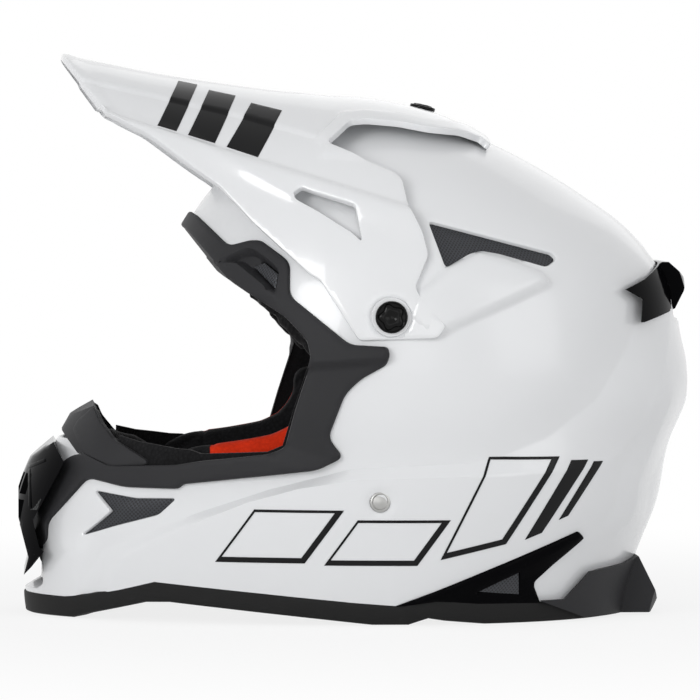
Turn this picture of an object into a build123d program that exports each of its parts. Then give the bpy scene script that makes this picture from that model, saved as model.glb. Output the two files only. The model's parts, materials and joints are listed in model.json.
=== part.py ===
from build123d import *
from functools import cache
from math import cos, pi, sin
import os

# Motocross helmet. Millimetres, +Z up, the front at -X, the wearer's left at -Y.
# The origin lies on the ground under the middle of the length.

# Plan sections of the outer form, from under the neck edge up to the crown:
# height, front, rear, station of the widest point, half width, nose fullness, tail fullness.
FORM = [
    (-60, -172.0, 143.0, 20.0, 100.0, 1.65, 2.30),
    (-30, -173.0, 144.0, 20.0, 102.5, 1.65, 2.30),
    (0, -173.8, 145.0, 20.0, 106.0, 1.65, 2.30),
    (30, -174.5, 151.0, 22.5, 113.5, 1.65, 2.30),
    (60, -171.5, 162.5, 25.5, 120.5, 1.65, 2.27),
    (90, -160.5, 168.5, 28.0, 125.0, 1.66, 2.20),
    (120, -141.0, 179.7, 30.0, 127.0, 1.73, 2.20),
    (150, -123.0, 175.0, 30.0, 127.0, 1.82, 2.20),
    (180, -105.5, 168.5, 29.5, 123.5, 1.93, 2.12),
    (205, -91.0, 149.0, 26.5, 114.0, 2.00, 2.06),
    (225, -77.5, 122.0, 21.5, 100.5, 2.00, 2.00),
    (240, -62.0, 97.5, 17.5, 84.5, 2.00, 2.00),
    (251, -45.0, 76.0, 13.5, 67.0, 2.00, 2.00),
    (259, -27.5, 55.0, 11.0, 49.0, 2.00, 2.00),
    (264, -11.0, 35.5, 9.0, 31.0, 2.00, 2.00),
    (266.5, 1.5, 17.0, 8.0, 9.0, 2.00, 2.00),
]
FORM_CENTRE = (0, 0, 117)
FORM_REACH = (180, 127, 150)
SECTION_STEPS = 12
FAR = 230

# Clearances.
GAP = 0.3
FIT = 0.05

# Thicknesses of the layers, from the outside in.
WALL = 4.0
TRIM_THICK = 2.5
COVER_THICK = 2.2
MESH_THICK = 2.0
EPS_THICK = 30.0
CHIN_FOAM_THICK = 16.0
LINER_THICK = 10.0
TRIM_LIP = 2.2
TRIM_LIP_DEPTH = 6.0
GRILLE_THICK = 12.0
EXHAUST_THICK = 9.5
SPOILER_THICK = 6.0
SPOILER_BLOCK_THICK = 21.0
NOSE_GUARD_DEPTH = 10.0
VENT_LEDGE = 1.5
MESH_DEPTH = 1.0
MOUTH_MESH_DEPTH = 1.2
PROUD_MESH_THICK = 1.4
SPOILER_MESH_SEAT = 2.0
SPOILER_MESH_THICK = 1.4

# Side outlines, (x, z).
OPENING = [
    (-FAR, 207.5), (-90.6, 207), (-80.4, 194.6), (-67.5, 178.8), (-39.6, 160.6), (-28.6, 148.8),
    (-26.4, 140), (-35, 114), (-41, 93), (-50, 89.5), (-84, 85.5), (-97, 83), (-130.5, 81.2),
    (-143.3, 87), (-150, 97), (-FAR, 97),
]
TRIM = [
    (-FAR, 215), (-86, 215), (-68, 197), (-56.4, 200.3), (-51.8, 200.3), (-37.7, 189.6), (-38, 172),
    (-7.4, 147), (12, 146), (13.2, 142), (11.6, 136.6), (-2.3, 128.7), (-10, 121), (-18.7, 98.4),
    (-11, 88), (-24, 81.6), (-93.4, 73), (-96, 70.5), (-123.5, 70.5), (-142.5, 74.5), (-164, 49.7),
    (-163, 40.3), (-165.7, 35.8), (-168, 37), (-171.5, 51), (-154, 82.4), (-148.5, 86), (-143.6, 86.7),
    (-143.6, 97.2), (-FAR, 97.2),
]
BROW_VENT = [
    (-73.9, 187.5), (-64.9, 192.3), (-58.5, 195.3), (-54.7, 194.6), (-47, 189), (-42.4, 184.4),
    (-44.6, 173.2), (-62.7, 188),
]
CHIN_SIDE_VENT = [
    (-138.7, 67.7), (-118.8, 64.7), (-98.2, 65.1), (-107.4, 56.4), (-130.3, 49.7), (-144.5, 44.2),
    (-130.5, 57.6),
]
UPPER_SIDE_VENT = [
    (34.2, 211), (99.5, 194.1), (102.1, 191.3), (96.4, 187.2), (71.3, 194.4), (61.8, 196),
    (55.4, 194.5), (42.6, 187),
]
REAR_SIDE_VENT = [(38, 15.4), (38, 18.5), (112.7, 48.6), (115.8, 45.2), (89.9, 22.4), (89.6, 20), (93, 11.6)]
REAR_SIDE_MESH = [(60, 18), (80.9, 27.8), (81.3, 16)]
EXHAUST = [
    (165, 188), (168.6, 188), (178.2, 179.5), (176.8, 172.6), (172, 163), (151, 157), (149, 157),
    (150.5, 169), (140, 174.5), (152, 179.5),
]
GRILLE = [
    (-161, 92.5), (-177, 80.5), (-179.9, 68), (-179.9, 51), (-174.5, 31), (-177, 21.5), (-173, 26),
    (-166.3, 35), (-168.7, 37), (-172.2, 51), (-155.5, 82.5),
]
NOSE_GUARD = [(-139.5, 112), (-152, 106), (-156.5, 97.8), (-150.3, 97.4), (-143.9, 87.6), (-134, 100)]
NOSE_FLANGE = [(-156.5, 97.8), (-148.2, 87), (-143.7, 87.6), (-150.3, 98)]
SPOILER = [
    (94, 11.5), (107, 11.5), (121.2, 25.5), (127.7, 26.5), (142, 28), (151.5, 30.8), (163.3, 7), (158, 0.8),
    (120, 0.8),
]
BASE_TOP = [
    (-FAR, 11.2), (-154, 10.6), (-142.4, 13.4), (-107.4, 21.9), (-84, 19.9), (-49.2, 16.9), (-6.6, 12),
    (18.9, 10), (38.8, 14.8), (93.2, 11), (FAR, 11),
]
BASE_BOTTOM = [
    (FAR, 0), (64, 0), (42.7, 2), (34.3, 3.4), (24, 0), (5, 0), (-37.7, 4.5), (-72.5, 8), (-100, 10.6),
    (-112, 10.2), (-142.4, 2.5), (-150, 0), (-FAR, 0),
]
BASE_OUT = 2.5
BASE_IN = 8.0
BASE_FLOOR = 4.5

# The chin inlet and the rear outlets, in the front and rear views.
MOUTH_STEP = 1.0
MOUTH_BACK = -130
MOUTH_HALF_WIDTH = 32
MOUTH_Z = (40, 76)
GRILLE_HALF_WIDTH = 26
GRILLE_HOLE_Z = (45, 75)
GRILLE_RIB = 3.0
GRILLE_RIBS_Y = (-13, 0, 13)
GRILLE_BAR_Z = 61
OUTLET_FRONT = 120
EXHAUST_HALF_WIDTH = 22
EXHAUST_Z = (167, 177)
EXHAUST_MIDDLE_Z = (150, 190)
EXHAUST_MARGIN = 8
DIFFUSER_FRONT = 148
DIFFUSER_HALF_WIDTH = 30
DIFFUSER_Z = (8, 20)
SPOILER_BLOCK_HALF_WIDTH = 42

# The peak: station, half width at the foot, top height, fullness of the arch.
PEAK = [
    (-165, 100, 302.5, 3.0),
    (-133, 102, 296.0, 3.0),
    (-105, 105, 290.5, 2.7),
    (-75, 108, 286.0, 2.45),
    (-45, 116, 282.0, 2.35),
    (-18, 125, 279.8, 2.3),
    (14, 131.5, 277.5, 2.3),
    (50, 134.5, 268.5, 2.3),
    (80, 134.5, 251.5, 2.3),
]
PEAK_FOOT = 140
PEAK_THICK = 3.0
PEAK_STEPS = 12
PEAK_SIDE = [
    (-156.1, 300.6), (-133, 266.8), (-110.4, 256), (-73.8, 230.2), (-57.6, 211.2), (-29.1, 184),
    (-23.6, 181), (-3.5, 149.2), (37.3, 150.6), (42.1, 156.8), (27.6, 174.1), (26.3, 178.2),
    (33.4, 194.7), (30.9, 205.5), (23.8, 219.6), (21.3, 234.4), (17.4, 238.5), (-17.1, 253.0),
    (-4.7, 264.5), (3.9, 265.4), (21, 264), (38.2, 260.8), (55.4, 259.2), (67.3, 255.5), (70, 252.8),
    (72.5, 251.5), (72.5, 320), (-156.1, 320),
]
PEAK_SLOT = [(-38, 229), (-30, 232), (-5, 222), (-4, 204), (-12, 208), (-30, 220)]
TONGUE = [(-14, 320), (-14, 255), (10, 262), (60, 250), (72, 250), (72.5, 320)]
TONGUE_HALF_WIDTH = 27
TONGUE_LIFT = 3.6

# The peak's tilt axis, its screws and their inserts.
TILT = (13.7, 161.5)
SIDE_SEAT = 129.9
SIDE_HEAD_R = 8.5
SIDE_HEAD_THICK = 3.0
SIDE_HEAD_ROOM = 0.7
SHOULDER_INNER = 127.4
SHOULDER_R = 4.0
THREAD_R = 2.95
INSERT_R = 6.0
INSERT_INNER = 110.0
INSERT_SINK = 0.2
INSERT_FLOOR = 2
INSERT_POCKET = 1
THREAD_END = 3
JOINING = 0.2
TOP_DIRECTION = (0.2185, 0, 0.9758)
TOP_SEAT = 109.8
TOP_HEAD_LIFT = 1.2
TOP_HEAD_R = 7.0
TOP_HEAD_THICK = 3
TOP_HEAD_ROOM = 0.5
TOP_SHOULDER_R = 3.2
TOP_SHOULDER_LIFT = 0.8
TOP_INSERT = (90, 101.8)
TOP_TRAVEL = 8.6
KNOB_NOTCHES = 6
KNOB_NOTCH_R = 1.6

# The padding and the foam inside.
EPS_OUTLINE = [
    (-FAR, 212), (-86, 212), (-75, 199), (-62, 184), (-36, 166), (-21, 150), (33, 150), (33, 48), (FAR, 48),
    (FAR, 300), (-FAR, 300),
]
LINER_OUTLINE = [
    (-FAR, 202), (-84, 202), (-72, 184), (-52, 161), (-34, 141), (-28, 134), (34, 134), (60, 100), (FAR, 100),
    (FAR, 300), (-FAR, 300),
]
CHIN_FOAM = [(-FAR, 24), (-108, 24), (-108, 76), (-140, 76), (-146, 80), (-152, 84), (-FAR, 84)]
CHIN_FOAM_ROLL = [(-138.5, 72), (-138.5, 89), (-131.5, 98.5), (-122.8, 95.3), (-108, 90), (-108, 72)]
CHEEK_CORE = [
    (-98, 24), (-98, 72), (-60, 76), (-44, 82), (-34, 92), (-24, 114), (-15, 128), (-16, 24),
]
CHEEK_CORE_Y = 88
CHEEK_PAD = [
    (-98, 27), (-106, 60), (-105, 86), (-91, 93), (-53, 102), (-41.5, 105), (-34.5, 111), (-30, 124),
    (-27, 132.5), (20, 132.5), (22, 60), (16, 27),
]
CHEEK_PAD_Y = (66, 87.5)
CHEEK_PAD_ROUND = 9
CHEEK_PAD_SNAPS = [(-62, 40), (-56, 62), (-30, 44)]
SNAP_R = 5
SNAP_THICK = 3
SNAP_PROUD = 0.2
SNAP_OVERRUN = 1
NECK_ROLL_Z = (16, 47.7)
NECK_ROLL_X = 34
NECK_ROLL_THICK = 26
FILTER_THICK = 10

# The chin strap.
RIVET = (8.3, 65.1)
RIVET_R = 2.5
RIVET_HEAD_R = 6.0
RIVET_HEAD_Y = 122.6
RIVET_HEAD_INNER = 112
RIVET_TAIL = 3.5
RIVET_CROWN = 0.5
ANCHOR_Y = (110.3, 112.3)
ANCHOR_SIZE = (26, 26)
STRAP_WIDTH = 24
STRAP_THICK = 2.0
STRAP_TOP = 78
STRAP_Y = 109
STRAP_FOOT_Z = 19
STRAP_BENDS = [(STRAP_Y, STRAP_TOP), (STRAP_Y, 58), (104, 30), (97, STRAP_FOOT_Z)]
LEFT_STRAP_PATH = [(-y, z) for y, z in STRAP_BENDS] + [(-56, STRAP_FOOT_Z)]
RIGHT_STRAP_PATH = STRAP_BENDS + [(30, STRAP_FOOT_Z)]
STRAP_BEND_R = 6
RING_BARS_Y = (-49.5, -39.5)
RING_EYE_WALL = 1.8
RING_WIRE_R = 1.8
RING_LENGTH = 22
RING_WIDTH = 30
RING_RISE = 30
RING_BEND_R = 8
RING_TONGUE_Y = -57
STRAP_SNAP_Y = 36
STRAP_SNAP = (6, 2)
STRAP_SNAP_POST = (3, 1.5)


def grown(point, offset):
    """The point moved outwards from the middle of the form by about the offset."""
    return Vector(*[c + (v - c) * (1 + offset / r) for v, c, r in zip(point, FORM_CENTRE, FORM_REACH)])


def section(level, offset):
    """Left half of a plan section of the form, closed along the middle plane."""
    z, front, rear, middle, half_width, nose, tail = level
    points = []
    for step in range(SECTION_STEPS + 1):
        turn = pi * step / SECTION_STEPS
        reach, fullness = (front, nose) if cos(turn) > 0 else (rear, tail)
        x = middle + (reach - middle) * abs(cos(turn)) ** (2 / fullness)
        points.append(grown((x, -half_width * sin(turn), z), offset))
    ticks = [step / SECTION_STEPS for step in range(SECTION_STEPS + 1)]
    pull = pi * half_width * (1 + offset / FORM_REACH[1])
    side = Edge.make_spline(points, tangents=[(0, -pull, 0), (0, pull, 0)], parameters=ticks, scale=False)
    return Wire([side, Edge.make_line(points[-1], points[0])])


@cache
def form(offset):
    """The solid helmet form, its surface moved outwards by the offset."""
    half = Solid.make_loft([section(level, offset) for level in FORM])
    return half + mirror(half, about=Plane.XZ)


def prism(outline, grow=0):
    """A side outline run right across the helmet, its edge moved out by grow."""
    face = make_face(Plane.XZ * Polyline(*outline, close=True))
    if grow:
        face = offset(face, grow, kind=Kind.INTERSECTION)
    return extrude(face, FAR, both=True)


def layer(inner, outer, cutter):
    """The part of a cutter that lies between two offsets of the form."""
    return (cutter & form(outer)) - form(inner)


def block(x, y, z):
    """A box between pairs of limits."""
    return Pos((x[0] + x[1]) / 2, (y[0] + y[1]) / 2, (z[0] + z[1]) / 2) * Box(x[1] - x[0], y[1] - y[0], z[1] - z[0])


def left_half():
    """Everything on the wearer's left."""
    return block((-FAR, FAR), (-FAR, 0), (-FAR, FAR + FAR))


def across(place, radius, near, far):
    """A round bar along Y on the left side, between two distances from the middle plane."""
    return Pos(place[0], -(near + far) / 2, place[1]) * Rot(90, 0, 0) * Cylinder(radius, far - near)


def along_top(radius, near, far):
    """A round bar on the top screw's line, between two distances from the tilt axis."""
    base = Plane(origin=(TILT[0], 0, TILT[1]), z_dir=TOP_DIRECTION)
    return base * Pos(0, 0, (near + far) / 2) * Cylinder(radius, far - near)


def top_slot(length, width, near, far):
    """A round-ended slot on the top screw's line, long in the direction of tilt."""
    along = (TOP_DIRECTION[2], 0, -TOP_DIRECTION[0])
    base = Plane(origin=(TILT[0], 0, TILT[1]), x_dir=along, z_dir=TOP_DIRECTION)
    return base * Pos(0, 0, near) * extrude(SlotOverall(length, width), far - near)


def save(shape, name):
    """Writes one node."""
    solids = shape.solids()
    export_step(Compound(solids) if len(solids) > 1 else solids[0], f"parts/{name}.step")


def save_pair(shape, name):
    """Writes a left node and its mirrored right node."""
    save(shape, f"left_{name}")
    save(mirror(shape, about=Plane.XZ), f"right_{name}")


def mouth(grow=0):
    """The chin inlet, cut straight from the front."""
    half = MOUTH_HALF_WIDTH + grow
    return block((-FAR, MOUTH_BACK), (-half, half), (MOUTH_Z[0] - grow, MOUTH_Z[1] + grow))


def outlet(half_width, z, grow=0):
    """A rear outlet, cut straight from behind."""
    half = half_width + grow
    return block((OUTLET_FRONT, FAR), (-half, half), (z[0] - grow, z[1] + grow))


def base_seat():
    """The lower edge line of the shell, which stands in the base trim's groove."""
    lifted = [(x, z + BASE_FLOOR) for x, z in BASE_BOTTOM]
    return prism(lifted + [(-FAR, FAR + FAR), (FAR, FAR + FAR)])


def side_screw_hole(radius):
    """A hole on the tilt axis through both sides."""
    hole = across(TILT, radius, 0, FAR)
    return hole + mirror(hole, about=Plane.XZ)


def rivet_hole(radius):
    """A hole on the strap rivets' axis through both sides."""
    hole = across(RIVET, radius, 0, FAR)
    return hole + mirror(hole, about=Plane.XZ)


def outer_shell():
    """The gloss outer shell with its eyeport, vents and neck opening."""
    shell = (form(0) & base_seat()) - form(-WALL)
    shell -= prism(OPENING, TRIM_LIP + GAP)
    shell -= prism(CHIN_SIDE_VENT)
    shell -= prism(UPPER_SIDE_VENT)
    shell -= prism(BROW_VENT, -VENT_LEDGE)
    shell -= prism(REAR_SIDE_MESH, -VENT_LEDGE)
    shell -= mouth()
    shell -= outlet(EXHAUST_HALF_WIDTH, EXHAUST_Z)
    shell -= side_screw_hole(INSERT_R + FIT)
    shell -= rivet_hole(RIVET_R + GAP)
    return shell - along_top(INSERT_R + FIT, 0, FAR)


def eyeport_trim():
    """The frame round the eyeport: a flange on the shell and a lip over its cut edge."""
    region = prism(TRIM)
    flange = layer(GAP, TRIM_THICK, region)
    lip = layer(-TRIM_LIP_DEPTH, TRIM_THICK, prism(OPENING, TRIM_LIP) & region)
    return flange + lip - prism(OPENING) - prism(BROW_VENT)


def nose_guard():
    """The wedge on top of the chin bar and its flange on the front of the shell."""
    wedge = layer(-NOSE_GUARD_DEPTH, TRIM_THICK, prism(NOSE_GUARD))
    return wedge + layer(GAP, TRIM_THICK, prism(NOSE_FLANGE))


def base_trim():
    """The rubber edge: a channel round the shell's lower edge."""
    band = prism(BASE_TOP + BASE_BOTTOM)
    lifted = [(x, z + BASE_FLOOR - GAP) for x, z in BASE_BOTTOM]
    floor = prism(lifted[::-1] + BASE_BOTTOM)
    outer = layer(GAP, BASE_OUT, band)
    inner = layer(-BASE_IN, -WALL - GAP, band)
    return outer + inner + layer(-BASE_IN, BASE_OUT, floor)


def chin_vent_grille():
    """The gloss front grille with its ribs and cross bar."""
    grille = layer(GAP, GRILLE_THICK, prism(GRILLE))
    half = GRILLE_HALF_WIDTH
    depth = (-FAR, MOUTH_BACK)
    hole = block(depth, (-half, half), GRILLE_HOLE_Z)
    for y in GRILLE_RIBS_Y:
        hole -= block(depth, (y - GRILLE_RIB / 2, y + GRILLE_RIB / 2), MOUTH_Z)
    hole -= block(depth, (-half, half), (GRILLE_BAR_Z, GRILLE_BAR_Z + GRILLE_RIB))
    return grille - hole


def sunk_mesh(room):
    """A mesh panel set just under the outer face of the wall, in this room."""
    return layer(-MESH_DEPTH - MESH_THICK, -MESH_DEPTH, room)


def proud_mesh(outline):
    """A thin mesh panel on the left, on the wall's face, in an opening with this side outline."""
    return layer(GAP, GAP + PROUD_MESH_THICK, prism(outline, -GAP) & left_half())


def rear_exhaust_vent():
    """The gloss rear outlet: a thin wrap with a deeper middle."""
    region = prism(EXHAUST)
    wrap = layer(GAP, COVER_THICK, region)
    middle = layer(GAP, EXHAUST_THICK, region & outlet(EXHAUST_HALF_WIDTH, EXHAUST_MIDDLE_Z, EXHAUST_MARGIN))
    return wrap + middle - outlet(EXHAUST_HALF_WIDTH, EXHAUST_Z)


def rear_side_vent():
    """The left gloss cover over the lower rear vent."""
    return layer(GAP, COVER_THICK, prism(REAR_SIDE_VENT) & left_half()) - prism(REAR_SIDE_MESH)


def rear_spoiler():
    """The rear skirt: it laps the base trim and carries the middle outlet."""
    above = block((0, FAR), (-FAR, FAR), (BASE_TOP[-1][1] + GAP, FAR))
    skirt = prism(SPOILER)
    wrap = layer(GAP, SPOILER_THICK, skirt & above) + layer(BASE_OUT + GAP, SPOILER_THICK, skirt)
    half = SPOILER_BLOCK_HALF_WIDTH
    room = block((0, FAR), (-half, half), (-FAR, FAR))
    middle = layer(BASE_OUT + GAP, SPOILER_BLOCK_THICK, skirt & room)
    pocket = block((DIFFUSER_FRONT, FAR), (-DIFFUSER_HALF_WIDTH, DIFFUSER_HALF_WIDTH), DIFFUSER_Z)
    return wrap + middle - (pocket - form(BASE_OUT + GAP + SPOILER_MESH_SEAT))


def spoiler_mesh():
    """The mesh panel at the bottom of the rear skirt's outlet."""
    half = DIFFUSER_HALF_WIDTH - GAP
    room = block((DIFFUSER_FRONT + GAP, FAR), (-half, half), (DIFFUSER_Z[0] + GAP, DIFFUSER_Z[1] - GAP))
    inner = BASE_OUT + SPOILER_MESH_SEAT + 2 * GAP
    return layer(inner, inner + SPOILER_MESH_THICK + GAP, room)


def arch(station, thinner):
    """One cross section of the peak: a rounded arch closed by a straight foot."""
    x, half_width, top, fullness = station
    half_width -= thinner
    top -= thinner
    foot = PEAK_FOOT - 2 * thinner
    points = []
    for step in range(PEAK_STEPS + 1):
        turn = pi * step / PEAK_STEPS
        y = half_width * abs(cos(turn)) ** (2 / fullness) * (1 if cos(turn) > 0 else -1)
        z = foot + (top - foot) * abs(sin(turn)) ** (2 / fullness)
        points.append((x, y, z))
    ticks = [step / PEAK_STEPS for step in range(PEAK_STEPS + 1)]
    pull = pi * (top - foot)
    crown = Edge.make_spline(points, tangents=[(0, 0, pull), (0, 0, -pull)], parameters=ticks, scale=False)
    return Wire([crown, Edge.make_line(points[-1], points[0])])


def peak():
    """The peak: an arched sheet, its two arms and the middle tongue with the slot."""
    arched = Solid.make_loft([arch(station, 0) for station in PEAK])
    hollow = Solid.make_loft([arch(station, PEAK_THICK) for station in PEAK])
    sheet = (arched & prism(PEAK_SIDE)) - hollow
    half = TONGUE_HALF_WIDTH
    tongue = arched & prism(TONGUE) & block((-FAR, FAR), (-half, half), (0, FAR + FAR))
    tongue -= form(TONGUE_LIFT)
    body = sheet + tongue - prism(PEAK_SLOT)
    body -= side_screw_hole(SHOULDER_R + FIT)
    seat = across(TILT, SIDE_HEAD_R + SIDE_HEAD_ROOM, SIDE_SEAT, FAR)
    body -= seat + mirror(seat, about=Plane.XZ)
    body -= top_slot(2 * (TOP_TRAVEL + TOP_SHOULDER_R), 2 * (TOP_SHOULDER_R + GAP), 0, FAR)
    return body - top_slot(2 * (TOP_TRAVEL + TOP_HEAD_R), 2 * (TOP_HEAD_R + TOP_HEAD_ROOM), TOP_SEAT, FAR)


def knob(radius, thick):
    """A notched screw head, its underside at the origin and its top towards +Z."""
    head = Pos(0, 0, thick / 2) * Cylinder(radius, thick)
    for notch in range(KNOB_NOTCHES):
        turn = 2 * pi * notch / KNOB_NOTCHES
        head -= Pos(radius * cos(turn), radius * sin(turn), thick) * Cylinder(KNOB_NOTCH_R, thick)
    return head - Pos(0, 0, thick) * Cylinder(radius / 2, thick / 2)


def side_screw():
    """The left peak screw: knob, shoulder in the arm, thread in the insert."""
    head = Pos(TILT[0], -SIDE_SEAT - GAP, TILT[1]) * Rot(90, 0, 0) * knob(SIDE_HEAD_R, SIDE_HEAD_THICK)
    shoulder = across(TILT, SHOULDER_R, SHOULDER_INNER, SIDE_SEAT + GAP + JOINING)
    return head + shoulder + across(TILT, THREAD_R, INSERT_INNER + THREAD_END, SHOULDER_INNER + JOINING)


def side_insert():
    """The left threaded insert in the shell wall."""
    body = across(TILT, INSERT_R, INSERT_INNER, FAR) & form(INSERT_SINK)
    return body - across(TILT, THREAD_R + FIT, INSERT_INNER + INSERT_FLOOR, FAR)


def top_screw():
    """The middle peak screw: knob, shoulder in the slot, thread in the insert."""
    under = TOP_SEAT + TOP_HEAD_LIFT
    base = Plane(origin=(TILT[0], 0, TILT[1]), z_dir=TOP_DIRECTION)
    head = base * Pos(0, 0, under) * knob(TOP_HEAD_R, TOP_HEAD_THICK)
    foot = TOP_INSERT[1] + TOP_SHOULDER_LIFT
    shoulder = along_top(TOP_SHOULDER_R, foot, under + JOINING)
    return head + shoulder + along_top(THREAD_R, TOP_INSERT[0] + THREAD_END, foot + JOINING)


def top_insert():
    """The threaded insert in the crown of the shell."""
    body = along_top(INSERT_R, *TOP_INSERT)
    return body - along_top(THREAD_R + FIT, TOP_INSERT[0] + INSERT_FLOOR, FAR)


def eps_liner():
    """The impact liner of the dome, with pockets for the inserts."""
    liner = layer(-WALL - 2 * GAP - EPS_THICK, -WALL - 2 * GAP, prism(EPS_OUTLINE))
    radius = INSERT_R + INSERT_POCKET
    pocket = across(TILT, radius, INSERT_INNER - INSERT_POCKET, FAR)
    liner -= pocket + mirror(pocket, about=Plane.XZ)
    return liner - along_top(radius, TOP_INSERT[0] - INSERT_POCKET, FAR)


def comfort_liner():
    """The padded liner inside the impact liner."""
    outer = -WALL - EPS_THICK - 4 * GAP
    return layer(outer - LINER_THICK, outer, prism(LINER_OUTLINE))


def chin_bar_foam():
    """The foam behind the chin bar, with a pocket for the filter."""
    inner = -WALL - GAP - CHIN_FOAM_THICK
    foam = layer(inner, -WALL - GAP, prism(CHIN_FOAM))
    foam += layer(inner, -TRIM_LIP_DEPTH - GAP, prism(CHIN_FOAM_ROLL))
    return foam - mouth(-MOUTH_STEP)


def chin_filter_foam():
    """The filter behind the chin mesh."""
    return layer(-WALL - GAP - FILTER_THICK, -WALL - GAP, mouth(-MOUTH_STEP - GAP))


def cheek_core():
    """The left foam core behind the cheek pad, with its snap pockets."""
    room = prism(CHEEK_CORE) & block((-FAR, FAR), (-FAR, -CHEEK_CORE_Y), (-FAR, FAR))
    core = room & form(-WALL - 2 * GAP)
    for place in CHEEK_PAD_SNAPS:
        core -= across(place, SNAP_R + GAP, CHEEK_CORE_Y - SNAP_OVERRUN, CHEEK_CORE_Y + SNAP_THICK)
    return core


def cheek_pad():
    """The left cheek cushion."""
    near, far = CHEEK_PAD_Y
    face = make_face(Plane.XZ * FilletPolyline(*CHEEK_PAD, radius=CHEEK_PAD_ROUND, close=True))
    pad = extrude(face, FAR, both=True) & block((-FAR, FAR), (-far, -near), (-FAR, FAR)) & form(-2 * WALL)
    return pad


def cheek_pad_snaps():
    """The press studs that hold both cheek pads, as one group."""
    near, far = CHEEK_CORE_Y - SNAP_PROUD, CHEEK_CORE_Y + SNAP_THICK - GAP
    studs = [across(place, SNAP_R, near, far) for place in CHEEK_PAD_SNAPS]
    return Compound(studs + [mirror(stud, about=Plane.XZ) for stud in studs])


def neck_roll():
    """The soft roll round the rear of the neck opening."""
    room = block((NECK_ROLL_X, FAR), (-FAR, FAR), NECK_ROLL_Z)
    return layer(-BASE_IN - GAP - NECK_ROLL_THICK, -BASE_IN - GAP, room)


def strap_rivet():
    """The left strap rivet: a head on the shell and a shank through the plate."""
    head = across(RIVET, RIVET_HEAD_R, RIVET_HEAD_INNER, RIVET_HEAD_Y) - form(GAP)
    return head + across(RIVET, RIVET_R, ANCHOR_Y[0] - RIVET_TAIL, RIVET_HEAD_Y - RIVET_CROWN)


def strap_anchor():
    """The left steel plate that turns on the rivet."""
    width, height = ANCHOR_SIZE
    plate = block(
        (RIVET[0] - width / 2, RIVET[0] + width / 2), (-ANCHOR_Y[1], -ANCHOR_Y[0]),
        (RIVET[1] - height / 2, RIVET[1] + height / 2),
    )
    return plate - across(RIVET, RIVET_R + FIT, 0, FAR)


def ribbon(path):
    """Webbing of the strap's width along a path in the YZ plane."""
    face = Plane(origin=(RIVET[0], 0, 0), x_dir=(0, 1, 0), z_dir=(1, 0, 0)) * trace(
        FilletPolyline(*path, radius=STRAP_BEND_R), STRAP_THICK)
    return extrude(face, STRAP_WIDTH / 2, both=True)


def bar(y, z, radius, width):
    """A round bar across the strap."""
    return Pos(RIVET[0], y, z) * Rot(0, 90, 0) * Cylinder(radius, width)


def left_chin_strap():
    """The left strap with the two eyes that hold the rings."""
    strap = ribbon(LEFT_STRAP_PATH)
    z = LEFT_STRAP_PATH[-1][1]
    for y in RING_BARS_Y:
        strap += bar(y, z, RING_WIRE_R + RING_EYE_WALL, STRAP_WIDTH)
    half = STRAP_THICK / 2
    across_x = (RIVET[0] - STRAP_WIDTH / 2, RIVET[0] + STRAP_WIDTH / 2)
    strap += block(across_x, (RING_TONGUE_Y, RING_BARS_Y[1]), (z - half, z + half))
    for y in RING_BARS_Y:
        strap -= bar(y, z, RING_WIRE_R + FIT, 2 * STRAP_WIDTH)
    return strap - across(RIVET, RIVET_R + FIT, 0, FAR)


def right_chin_strap():
    """The right strap with its free end and the hole for the snap."""
    strap = ribbon(RIGHT_STRAP_PATH)
    return strap - mirror(across(RIVET, RIVET_R + FIT, 0, FAR), about=Plane.XZ)


def d_ring(bar_y, rise):
    """A D ring: a round bar in the strap's eye and a bow beyond it."""
    z = LEFT_STRAP_PATH[-1][1]
    half = RING_WIDTH / 2
    ring = Rot(0, 90, 0) * Cylinder(RING_WIRE_R, RING_WIDTH + 2 * RING_WIRE_R)
    bow = FilletPolyline((-half, 0), (-half, RING_LENGTH), (half, RING_LENGTH), (half, 0), radius=RING_BEND_R)
    face = trace(bow, 2 * RING_WIRE_R)
    ring += extrude(face, RING_WIRE_R, both=True)
    return Pos(RIVET[0], bar_y, z) * Rot(rise, 0, 0) * ring


def strap_snap():
    """The snap stud on the right strap's free end."""
    z = RIGHT_STRAP_PATH[-1][1] + STRAP_THICK / 2 + GAP
    radius, thick = STRAP_SNAP
    post_radius, rise = STRAP_SNAP_POST
    stud = Pos(RIVET[0], STRAP_SNAP_Y, z + thick / 2) * Cylinder(radius, thick)
    return stud + Pos(RIVET[0], STRAP_SNAP_Y, z + (thick + rise) / 2) * Cylinder(post_radius, thick + rise)


os.makedirs("parts", exist_ok=True)
save(outer_shell(), "outer_shell")
save(eyeport_trim(), "eyeport_trim")
save(nose_guard(), "nose_guard")
save(base_trim(), "base_trim")
save(chin_vent_grille(), "chin_vent_grille")
save(layer(-MOUTH_MESH_DEPTH - MESH_THICK, -MOUTH_MESH_DEPTH, mouth(-GAP)), "chin_vent_mesh")
save(chin_filter_foam(), "chin_filter_foam")
save(chin_bar_foam(), "chin_bar_foam")
save_pair(sunk_mesh(prism(CHIN_SIDE_VENT, -GAP) & left_half()), "chin_side_mesh")
save_pair(sunk_mesh(prism(UPPER_SIDE_VENT, -GAP) & left_half()), "upper_side_mesh")
save_pair(proud_mesh(BROW_VENT), "brow_mesh")
save(rear_exhaust_vent(), "rear_exhaust_vent")
save(sunk_mesh(outlet(EXHAUST_HALF_WIDTH, EXHAUST_Z, -GAP)), "rear_exhaust_mesh")
save_pair(rear_side_vent(), "rear_side_vent")
save_pair(proud_mesh(REAR_SIDE_MESH), "rear_side_mesh")
save(rear_spoiler(), "rear_spoiler")
save(spoiler_mesh(), "spoiler_mesh")
save(peak(), "peak")
save_pair(side_screw(), "peak_screw")
save_pair(side_insert(), "peak_insert")
save(top_screw(), "top_peak_screw")
save(top_insert(), "top_peak_insert")
save(eps_liner(), "eps_liner")
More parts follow.
